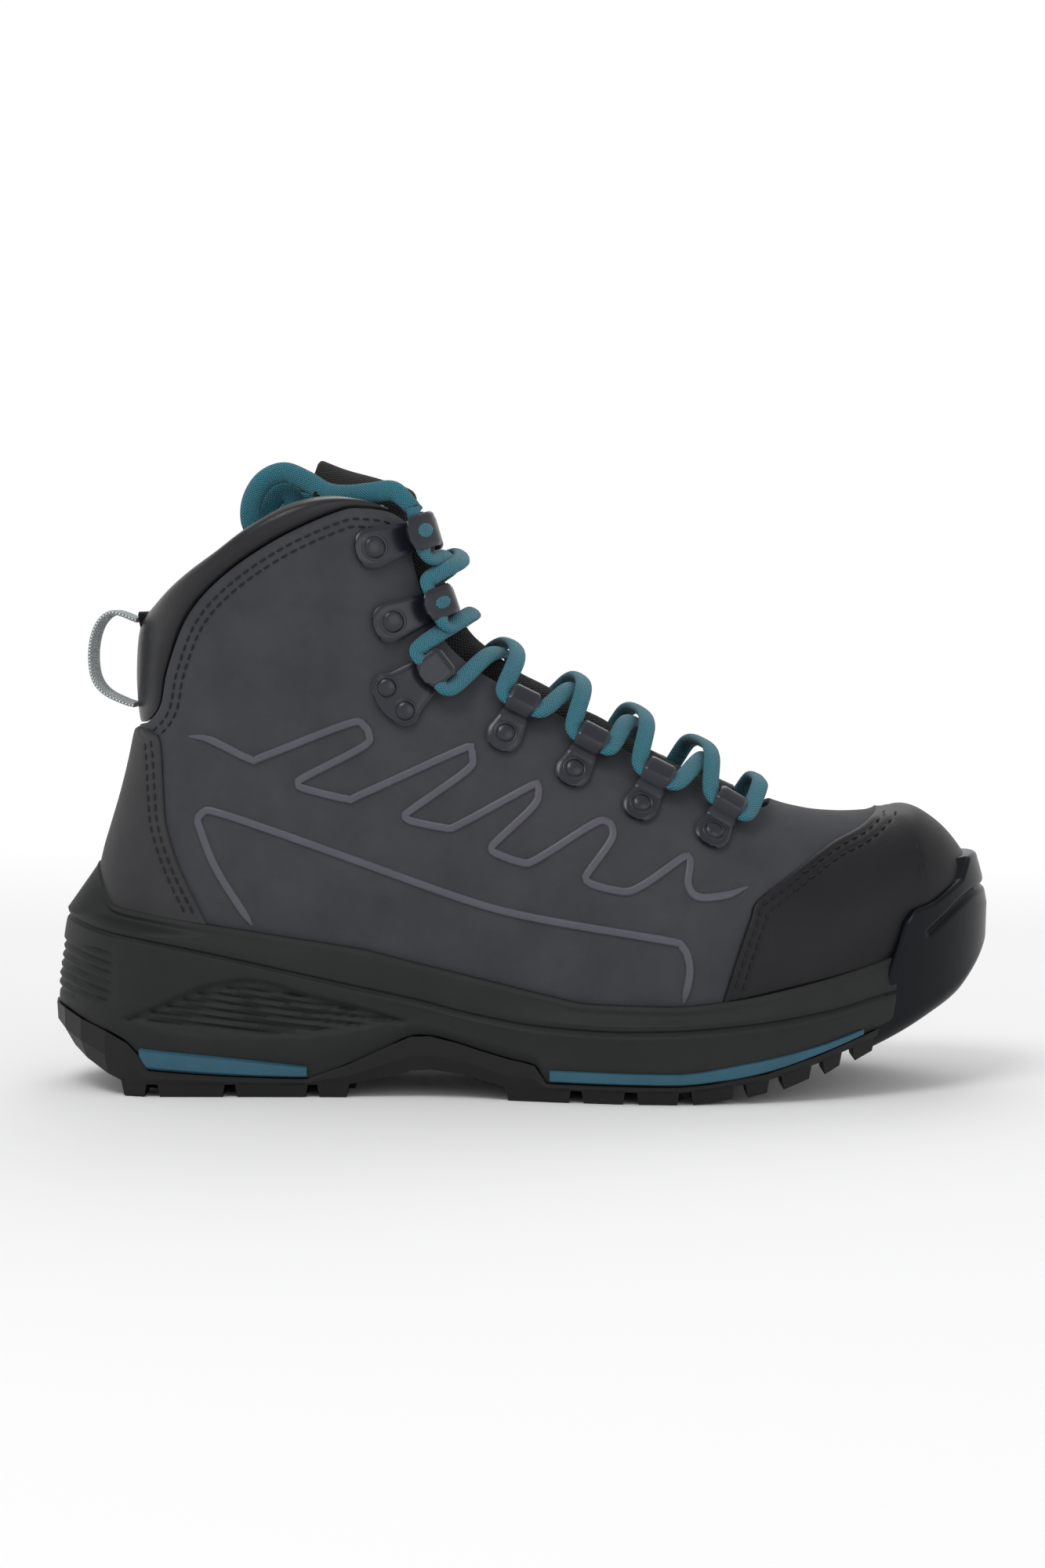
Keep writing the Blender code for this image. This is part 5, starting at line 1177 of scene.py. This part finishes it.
class BOOT_OT_hardware(bpy.types.Operator):
    """Lace tabs and hooks: bent strips seated on the quarters, each with its rivet"""
    bl_idname = "boot.hardware"
    bl_label = "Tabs and hooks"

    def execute(self, context):
        flat = SEAT + METAL / 2
        high = flat + TUNNEL
        half = TAB_WIDE / 2 + 0.6
        tab = ((-5.9, flat, 0.4), (-5.7, flat, 2.1), (-4.8, flat, 3.9), (-3.1, flat, 5.0),
               (-0.6, flat, 5.5), (2.2, flat, 5.1), (4.6, flat + 0.3, half),
               (5.9, flat + 1.6, half), (6.6, 0.7 * high, half), (7.6, high - 0.3, half),
               (9.0, high, half), (TAB_LONG - 6.2, high, half), (TAB_LONG - 5.0, high - 0.5, half),
               (TAB_LONG - 4.3, 0.65 * high, half), (TAB_LONG - 4.0, flat + 0.2, half))
        wide = HOOK_WIDE / 2
        end = HOOK_LONG - 3.0
        hook = ((-6.2, flat, 0.6), (-5.9, flat, 2.7), (-4.7, flat, 4.7), (-2.5, flat, 5.9),
                (0.3, flat, 6.2), (5.0, flat, 5.5), (end - 5.0, flat, 0.92 * wide),
                (end - 2.0, flat + 0.2, wide), (end - 0.4, flat + 1.0, wide),
                (end + 0.4, flat + 2.4, wide), (end, flat + HOOK_RISE - 1.0, wide),
                (end - 1.2, flat + HOOK_RISE - 0.1, wide), (end - 3.0, flat + HOOK_RISE, wide),
                (end - 6.0, flat + HOOK_RISE, wide), (end - 7.6, flat + HOOK_RISE, 0.8 * wide),
                (end - 8.6, flat + HOOK_RISE, 0.35 * wide))
        broad = ((-6.0, flat, 0.6), (-5.7, flat, 3.6), (-4.6, flat, 6.8), (-2.6, flat, 8.8),
                 (0.2, flat, 9.3), (3.4, flat, 7.6), (end - 7.0, flat, 6.0)) + hook[6:]
        for table, rows, word in ((TABS, tab, "lace_tab_{}"), (HOOKS, hook, "{}_hook")):
            for name, x, z, turn in table:
                for label, side in (("outer", -1), ("inner", 1)):
                    place = seat(place_x(x), place_z(z), turn, side)
                    node = word.format(name) + "_" + label
                    shells = [plate(place, side, broad if name == "ankle" else rows)]
                    if name == "ankle":
                        shells += [rivet(place, side, -0.6, 4.6), rivet(place, side, -0.6, -4.6)]
                    else:
                        shells.append(rivet(place, side, 0.0, 0.0, 1.15 if rows is hook else 1.0))
                    piece(node + "_metal", shells, "powder", [node], sharp=50.0)
                    if name in ("middle", "top"):
                        piece(f"{node}_eye", [eye(place, side, end - EYE_BACK, EYE_RADIUS)],
                              "braid")
        return {"FINISHED"}


# Lace

def nearest_share(at):
    """The share of the instep's run whose point lies nearest in the side view."""
    gap = np.hypot(RIDGE_PATH[:, 0] - at[0], RIDGE_PATH[:, 1] - at[2])
    return RIDGE_RUN[gap.argmin()] / RIDGE_RUN[-1]


def crossing_points(start, end, out):
    """From one gate up over the throat's edge, across the instep's middle and down again."""
    share = nearest_share((start + end) / 2)
    middle = over_instep(share, 0.0, out)[0]
    lifts = []
    for gate in (start, end):
        y = (gate[1] - spine(gate[0])) * 0.5
        lifts.append(over_instep(nearest_share(0.5 * (gate + middle)), y, out + LACE_LIFT)[0])
    return [lifts[0], middle, lifts[1]]


# How much farther out than the lowest crossing each one lies, then the bar, and then the half that
# lies over the other at a crossing
CROSSING_SHIFT = (0.0, 0.0, -0.5, -2.5, -4.5, -1.0)
BAR_SHIFT = 2.0
OVER_SHIFT = LACE * 0.95


def lace_route(first_side):
    """Points of one lace half: from the bar through every tab and hook, a side at a time."""
    rows = len(TABS) + len(HOOKS)
    side = first_side
    low = [lace_gates(0, s)[0] for s in (-1, 1)]
    bar = over_instep(nearest_share((low[0] + low[1]) / 2), 0.0, LACE_OUT + BAR_SHIFT)[0]
    lifts = crossing_points(low[0], low[1], LACE_OUT + BAR_SHIFT)
    points = [bar, lifts[0] if side < 0 else lifts[2]]
    for row in range(rows):
        enter, leave = lace_gates(row, side)
        inside = 0.5 * (enter + leave)
        away = outward(inside[0], inside[2], side, -0.6) - outward(inside[0], inside[2], side, 0.0)
        points += [enter, inside + away, leave]
        if row < rows - 1:
            over = (row % 2 == 0) == (first_side < 0)
            ahead = lace_gates(row + 1, -side)[0]
            points += crossing_points(leave, ahead, LACE_OUT + CROSSING_SHIFT[row]
                                      + (OVER_SHIFT if over else 0.0))
            side = -side
    return points


BRAID_WIDE, BRAID_THICK = 5.6, 3.1
LACE_FACING = (22.0, 0.0, 40.0)     # where its flat side looks, apart from its own way sideways


def lace_tube(path):
    """The braid: a flat oval along a path, facing forward, up and away from the middle."""
    reference = path * (0, 1, 0) + LACE_FACING
    return framed_tube(path, BRAID_WIDE, BRAID_THICK, reference, 20)


class BOOT_OT_lace(bpy.types.Operator):
    """The lace: two halves of one braid, tab to tab, crossing over the tongue"""
    bl_idname = "boot.lace"
    bl_label = "Lace"

    def execute(self, context):
        shells = [shell(lace_tube(spline(lace_route(side), 10)), (False, True), True)
                  for side in (-1, 1)]
        crossings = range(1, len(TABS) + len(HOOKS))
        nodes = ["lace_bar"] + [f"lace_crossing_{k}" for k in crossings]
        piece("lace_braid", shells, "braid", nodes)
        return {"FINISHED"}


# A free end from its top hook: along the rim, one turn behind the tongue, down into the mouth
FREE_END = ((-39.5, 22.5, 187.0), (-46.5, 21.5, 186.6), (-54.0, 18.5, 186.0),
            (-61.0, 15.0, 187.0), (-67.5, 12.4, 190.8), (-74.5, 11.2, 193.4), (-81.0, 10.5, 190.6),
            (-84.8, 10.0, 184.0), (-84.6, 9.3, 176.8), (-79.4, 8.2, 172.4), (-72.8, 7.0, 174.6),
            (-70.2, 5.9, 181.0), (-74.2, 4.8, 187.6), (-79.4, 3.9, 184.0), (-80.4, 3.4, 176.0),
            (-80.8, 3.6, 166.0), (-81.2, 4.5, 156.0))
INNER_SHIFT = (4.5, 0.0, -3.0)      # of the inner end from the outer one's mirror image
# A free end's width and thickness, and its tip's length
FREE_WIDE, FREE_THICK, TIP_LONG = 6.4, 3.2, 14.0


class BOOT_OT_lace_ends(bpy.types.Operator):
    """The lace's free ends: one turn behind the tongue and down into the mouth, each tipped"""
    bl_idname = "boot.lace_ends"
    bl_label = "Lace ends"

    def execute(self, context):
        for label, side in (("outer", -1), ("inner", 1)):
            start = lace_gates(len(TABS) + len(HOOKS) - 1, side)[1]
            free = np.array(FREE_END) * (1, side, 1)
            if side > 0:
                free += np.array(INNER_SHIFT) * ease((np.arange(len(free)) - 1) / 5)[:, None]
            path = spline([start, *free], 10)
            length = np.linalg.norm(np.diff(path, axis=0), axis=1).sum()
            spread = 0.8 + 0.2 * ease(np.arange(len(path)) / 12)
            sideways = np.array([0.0, 1.0, 0.0])
            tube = framed_tube(path, FREE_WIDE, FREE_THICK, sideways, 20, spread)
            tip_path = even(path, 1 - np.linspace(TIP_LONG, 0.0, 12) / length)
            tip = framed_tube(tip_path, BRAID_WIDE * 0.8, BRAID_THICK * 1.2, sideways, 14)
            tip_piece = piece(f"lace_tip_{label}", [shell(tip, (False, True), True)], "tip")
            body = piece(f"lace_free_{label}", [shell(tube, (False, True), True)], "braid",
                         [f"lace_end_{label}"])
        return {"FINISHED"}


# Sole

SOLE_X = place_x(bunched(330, 0.6))


# The heel's recessed panel: its upper line, and its lower one, as (x, z) in millimetres
PANEL_TOP = ((-122.0, 24.0), (-110.0, 28.6), (-97.6, 33.7), (-86.0, 35.8), (-77.0, 34.8),
             (-66.0, 31.4), (-53.0, 28.3), (-37.0, 23.8))
PANEL_LOW = ((-122.0, 24.0), (-112.0, 20.5), (-100.0, 18.8), (-86.0, 18.0), (-66.0, 18.2),
             (-50.0, 20.5), (-37.0, 23.8))


def sole_relief(x, z):
    """Inward shift of the midsole's side: the ribbed panel, its shadow line, and the heel ribs."""
    top = np.interp(x, *np.array(PANEL_TOP).T, left=-99, right=-99)
    low = np.interp(x, *np.array(PANEL_LOW).T, left=99, right=99)
    inside = ease((top - z) / 0.9) * ease((z - low) / 3.0)
    ribs = 0.5 + 0.5 * np.cos(2 * math.pi * (z + 0.10 * x) / 2.5)
    line = spline(np.array(PANEL_TOP), 6)
    relief = -inside * (0.8 + 1.0 * ribs) - 1.3 * bump_at(away_from(line, x, z), 0, 0.8)
    back = ease((-124.0 - x) / 4.0) * ease((z - 28.0) / 2.0) * ease((47.0 - z) / 2.0)
    relief -= back * (0.3 + 0.9 * (0.5 + 0.5 * np.cos(2 * math.pi * (z + 0.25 * x) / 3.0)))
    return relief


WALL_STEPS = 11         # rows of the midsole's side from one level to the next
CHAMFER = 4.5           # how far its front draws in below the bumper


class BOOT_OT_midsole(bpy.types.Operator):
    """The moulded midsole: loops of the sole's outline from the tread up and down into the cup"""
    bl_idname = "boot.midsole"
    bl_label = "Midsole"

    def execute(self, context):
        x = SOLE_X
        heel = ease(1 - (x / LENGTH + 0.5) / 0.09)
        low, groove = line_z(OUTSOLE_TOP, x) + GAP, line_z(SOLE_GROOVE, x)
        top = lambda at: line_z(SOLE_TOP, at)
        floor = lambda at: line_z(FEATHER, at) - GAP
        levels = np.array([
            sole_loop(1.6 + 0.4 * heel, low),
            sole_loop(0.4 + 1.2 * heel, low + 0.25 * (groove - low)),
            sole_loop(0.35 + 2.2 * heel, low + 0.50 * (groove - low)),
            sole_loop(0.28 + 3.3 * heel, low + 0.75 * (groove - low)),
            sole_loop(0.2 + 4.3 * heel, groove - 1.6),
            sole_loop(0.9 + 4.3 * heel, groove - 0.7),
            sole_loop(1.5 + 4.3 * heel, groove),
            sole_loop(0.9 + 4.2 * heel, groove + 0.8),
            sole_loop(0.8 + 4.0 * heel, groove + 2.0),
            last_loop(LIP + 1.2, lambda at: top(at) - 3.0),
            last_loop(LIP + 0.8, lambda at: top(at) - 1.2),
            last_loop(LIP, top),
            last_loop(1.0, lambda at: top(at) + 0.2),
            last_loop(LAST_FIT, top)]
            + [last_loop(LAST_FIT, lambda at: top(at) + deep * (floor(at) - top(at)))
               for deep in (0.3, 0.7, 1.0)])
        outer = np.concatenate([levels[:1], refine(levels[:9], WALL_STEPS)[1:],
                                refine(levels[8:12], 5)[1:], levels[12:]])
        half = len(x)
        normal = plan_normals(outer[0])
        at_x, at_z = outer[..., 0], outer[..., 2]
        relief = sole_relief(at_x, at_z)
        above = at_z - (line_z(SOLE_GROOVE, at_x) + 5.5)
        relief -= 0.35 * bump_at(above, 0.0, 0.8) * (at_x > place_x(0.12))
        relief[8 * WALL_STEPS:] = 0
        outer[..., :2] += normal[None, :, :2] * relief[..., None]
        front = ease((outer[:, :, 0] - place_x(0.868) - 0.16 * outer[:, :, 2]) / 4.0)
        outer[..., :2] -= normal[None, :, :2] * (front * CHAMFER)[..., None]
        shells = [shell(outer, (False, True))]
        for row, flip in ((0, 1), (-1, -1)):
            loop = outer[row]
            ladder = np.stack([loop[:half], loop[half:][::-1]], 0)
            shells.append(shell(ladder[::flip]))
        piece("midsole_foam", shells, "foam", ["midsole"], sharp=50.0)
        return {"FINISHED"}


def side_band(table, side, inset, low, high, count=80):
    """A closed band along the sole's side between two heights, with a round outer face."""
    x = np.linspace(place_x(table[0][0]), place_x(table[-1][0]), count)
    top, base = high(x), low(x)
    turn = np.linspace(-1, 1, 9)
    end = np.clip(np.minimum(np.arange(count), np.arange(count)[::-1]) / 4, 0.2, 1) ** 0.5
    rings = []
    for t in turn:
        face = -inset * np.sqrt(1 - t**8) * end + (1 - np.sqrt(1 - t**8)) * 0.8
        z = base + (top - base) * (0.5 + 0.5 * t)
        rings.append(sole_loop(face, z, x))
    rings += [sole_loop(np.full(count, STRIP_DEPTH), z, x) for z in (top, base)]
    pick = slice(0, count) if side < 0 else slice(count, None)
    return np.stack([loop[pick] for loop in rings], 1)


class BOOT_OT_strips(bpy.types.Operator):
    """The coloured strips between midsole and tread"""
    bl_idname = "boot.strips"
    bl_label = "Sole strips"

    def execute(self, context):
        for name, table in (("heel_strip", HEEL_STRIP), ("forefoot_strip", FORE_STRIP)):
            for label, side in (("outer", -1), ("inner", 1)):
                band_of = side_band(table, side, STRIP_PROUD,
                                    lambda at: line_z(OUTSOLE_TOP, at) + 2 * GAP,
                                    lambda at: line_z(table, at))
                node = f"{name}_{label}"
                piece(node + "_face", [shell(band_of, (False, True), True)], "stripe", [node])
        return {"FINISHED"}


# The bumper's slot in the side view, and how far its face draws in at heights on the toe
BUMPER_SLOT = ((127.0, 50.5), (132.0, 54.5), (138.0, 59.0), (144.0, 62.0), (150.0, 63.0))
BUMPER_FACE = ((20.0, 1.6), (34.0, 1.0), (46.0, 0.3), (57.0, 0.0), (66.0, 1.6), (75.5, 4.2))
BUMPER_ROUND = 1.3      # of its upper and rear edges
BUMPER_THICK = 3.5


class BOOT_OT_bumper(bpy.types.Operator):
    """The toe bumper: rows of the sole's outline from foot to rim between two slanted seams"""
    bl_idname = "boot.bumper"
    bl_label = "Toe bumper"

    def execute(self, context):
        edge = np.array([(place_x(x), place_z(z)) for x, z in BUMPER_EDGE])
        stations = 1 - (1 - np.linspace(0, 1, 80)) ** 1.8
        slot = spline(np.array(BUMPER_SLOT), 6)
        rows = []
        for v in 0.5 - 0.5 * np.cos(np.linspace(0, math.pi, 90)):
            start = edge[0, 0] + (edge[1, 0] - edge[0, 0]) * v
            x = start + (LENGTH / 2 - start) * stations
            foot = line_z(BUMPER_FOOT, x)
            high = np.interp(x, edge[1:, 0], edge[1:, 1])
            z = foot + (high - foot) * v
            up = z - foot
            inset = np.interp(z, *np.array(BUMPER_FACE).T)
            inset = inset + 5.0 * (1 - np.sqrt(1 - (1 - np.clip(up / 6.0, 0, 1)) ** 2))
            for gap in (high - z, x - start):
                away = 1 - np.clip(gap / BUMPER_ROUND, 0, 1)
                inset = inset + BUMPER_ROUND * (1 - np.sqrt(1 - away ** 2))
            inset = inset + 1.2 * bump_at(away_from(slot, x, z), 0.0, 0.9)
            rows.append(sole_loop(inset, z, x))
        for row, start, drop in ((-1, edge[1, 0], 0.6), (0, edge[0, 0], -1.0)):
            z = rows[row][:len(stations), 2]
            x = start + (LENGTH / 2 - BUMPER_THICK - start) * stations
            rows.append(sole_loop(np.full(len(x), BUMPER_THICK + 3.0), z - drop, x))
        piece("toe_bumper_face", [shell(np.stack(rows, 1), (False, True), True)], "bumper",
              ["toe_bumper"], sharp=60.0)
        return {"FINISHED"}


class BOOT_OT_tread(bpy.types.Operator):
    """The tread and insole keep their solids and take their finish"""
    bl_idname = "boot.tread"
    bl_label = "Tread and footbed"

    def execute(self, context):
        for node, look in (("outsole", "tread"), ("insole", "mesh")):
            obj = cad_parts[node]
            obj.data.materials.clear()
            obj.data.materials.append(finish_of(look))
        return {"FINISHED"}


# Stage

# Each lamp: name, place in metres, size in metres and power
LAMPS = (("key", (-0.5, -0.9, 1.5), 0.7, 30.0), ("fill", (0.9, -1.3, 0.7), 1.0, 9.0),
         ("rim", (0.2, 1.2, 1.2), 1.0, 16.0))
# The photograph's camera: place and target in metres, focal length and sensor in millimetres
CAMERA_AT, CAMERA_TARGET = (0.0004, -0.95, 0.150), (0.0004, 0.0, 0.0948)
FOCAL, SENSOR = 68.4, 36.0
FLOOR_REACH = 4.0


class BOOT_OT_stage(bpy.types.Operator):
    """A pale floor, soft lights and the camera at the photograph's angle"""
    bl_idname = "boot.stage"
    bl_label = "Stage"

    def execute(self, context):
        scene = context.scene
        mesh = bpy.data.meshes.new("floor")
        corners = [(x * FLOOR_REACH, y * FLOOR_REACH, 0)
                   for x, y in ((-1, -1), (1, -1), (1, 1), (-1, 1))]
        mesh.from_pydata(corners, [], [(0, 1, 2, 3)])
        floor = bpy.data.objects.new("floor", mesh)
        scene.collection.objects.link(floor)
        # Painted backdrop board, rolled matt: near white, with no shine. It glows far from the
        # boot, so that no horizon shows
        pale = bpy.data.materials.new("pale_floor")
        pale.use_nodes = True
        shader = pale.node_tree.nodes["Principled BSDF"]
        shader.inputs["Base Color"].default_value = (0.88, 0.88, 0.88, 1)
        shader.inputs["Roughness"].default_value = 0.9
        shader.inputs["Emission Color"].default_value = (1, 1, 1, 1)
        away = add(pale.node_tree, "ShaderNodeVectorMath",
                   {0: add(pale.node_tree, "ShaderNodeTexCoord").outputs["Object"]},
                   operation="LENGTH")
        far_glow = add(pale.node_tree, "ShaderNodeMapRange",
                       {"Value": away.outputs["Value"], "From Min": 0.5, "From Max": 2.2,
                        "To Min": 0.0, "To Max": 0.42})
        pale.node_tree.links.new(far_glow.outputs[0], shader.inputs["Emission Strength"])
        mesh.materials.append(pale)

        # A white surround, brighter at the horizon, so that it meets the floor without a line
        world = bpy.data.worlds.new("studio")
        world.use_nodes = True
        tree = world.node_tree
        sky = tree.nodes["Background"]
        sky.inputs["Color"].default_value = (1, 1, 1, 1)
        height = add(tree, "ShaderNodeSeparateXYZ",
                     {0: add(tree, "ShaderNodeTexCoord").outputs["Generated"]}).outputs[2]
        glow = add(tree, "ShaderNodeMapRange",
                   {"Value": height, "From Min": 0.22, "From Max": 0.5, "To Min": 1.0,
                    "To Max": scene.boot_looks.sky})
        tree.links.new(glow.outputs[0], sky.inputs["Strength"])
        scene.world = world
        for name, place, size, power in LAMPS:
            lamp = bpy.data.lights.new(name, "AREA")
            lamp.energy, lamp.size = power * scene.boot_looks.light, size
            obj = bpy.data.objects.new(name, lamp)
            scene.collection.objects.link(obj)
            obj.location = place
            aim = np.array([0.0, 0.0, 0.08]) - np.array(place)
            flat = math.hypot(aim[0], aim[1])
            obj.rotation_euler = (math.atan2(flat, -aim[2]), 0, math.atan2(-aim[0], aim[1]))

        lens = bpy.data.cameras.new("camera")
        lens.lens, lens.sensor_width = FOCAL, SENSOR
        camera = bpy.data.objects.new("camera", lens)
        scene.collection.objects.link(camera)
        aim = np.array(CAMERA_TARGET) - np.array(CAMERA_AT)
        camera.location = CAMERA_AT
        camera.rotation_euler = (math.pi / 2 + math.atan2(aim[2], aim[1]), 0, 0)
        scene.camera = camera
        scene.view_settings.view_transform = "Standard"
        return {"FINISHED"}


# Panel and properties

def colour_of(hex_colour, name, text):
    """A colour property with its default in hex."""
    return bpy.props.FloatVectorProperty(name=name, description=text, subtype="COLOR", size=3,
                                         default=linear(hex_colour)[:3], min=0.0, max=1.0)


def length_of(value_mm, name, text):
    """A length property with its default in millimetres."""
    return bpy.props.FloatProperty(name=name, description=text, default=value_mm * MM,
                                   unit="LENGTH", min=0.0)


class BootLooks(bpy.types.PropertyGroup):
    """The colours and sizes that the panel shows"""
    nubuck: colour_of("38393d", "Nubuck", "Quarters and vamp")
    coated: colour_of("151518", "Coated leather", "Toe cap")
    counter: colour_of("313133", "Counter", "Heel counter")
    satin: colour_of("161619", "Lining", "Padded collar")
    mesh: colour_of("0c0c0e", "Spacer mesh", "Tongue and footbed")
    foam: colour_of("1e1f1f", "Foam", "Midsole")
    tread: colour_of("101011", "Tread rubber", "Outsole")
    bumper: colour_of("06090f", "Bumper rubber", "Toe bumper")
    stripe: colour_of("244f60", "Stripe", "Coloured strips of the sole")
    powder: colour_of("1c1e27", "Powder coat", "Tabs, hooks and rivets")
    braid: colour_of("2a7080", "Lace", "Braided lace")
    webbing: colour_of("a7afb0", "Webbing", "Pull loop")
    weld: colour_of("4a4952", "Welded line", "Raised lines on the quarters")
    thread: colour_of("151518", "Thread", "Stitching")
    tip: colour_of("1b2e32", "Lace tip", "Ends of the lace")
    crease_depth: length_of(0.8, "Crease depth", "How deep the flex creases are")
    stitch_pitch: length_of(3.1, "Stitch pitch", "From one stitch to the next")
    thread_pitch: length_of(0.9, "Braid pitch",
                            "From one crossing of the lace's threads to the next")
    light: bpy.props.FloatProperty(name="Light", description="Strength of the lamps", default=0.34,
                                   min=0.0)
    sky: bpy.props.FloatProperty(name="Sky", description="Strength of the white surround",
                                 default=0.62, min=0.0)


ORDER = (BOOT_OT_stage, BOOT_OT_lace_ends, BOOT_OT_upper, BOOT_OT_overlays, BOOT_OT_welds,
         BOOT_OT_stitching, BOOT_OT_collar, BOOT_OT_tongue, BOOT_OT_pull_loop, BOOT_OT_hardware,
         BOOT_OT_lace, BOOT_OT_midsole, BOOT_OT_bumper, BOOT_OT_strips, BOOT_OT_tread)


class BOOT_PT_panel(bpy.types.Panel):
    """Lists the sizes and colours, and a button for each piece"""
    bl_idname = "BOOT_PT_panel"
    bl_label = "Wading boot"
    bl_space_type = "VIEW_3D"
    bl_region_type = "UI"
    bl_category = "Boot"

    def draw(self, context):
        for name in BootLooks.__annotations__:
            self.layout.prop(context.scene.boot_looks, name)
        for kind in ORDER:
            self.layout.operator(kind.bl_idname)


def register():
    for kind in (BootLooks, *ORDER, BOOT_PT_panel):
        bpy.utils.register_class(kind)
    bpy.types.Scene.boot_looks = bpy.props.PointerProperty(type=BootLooks)


def unregister():
    del bpy.types.Scene.boot_looks
    for kind in (BOOT_PT_panel, *ORDER, BootLooks):
        bpy.utils.unregister_class(kind)


def main():
    register()
    for kind in ORDER:
        group, name = kind.bl_idname.split(".")
        getattr(getattr(bpy.ops, group), name)()


if __name__ == "__main__":
    main()
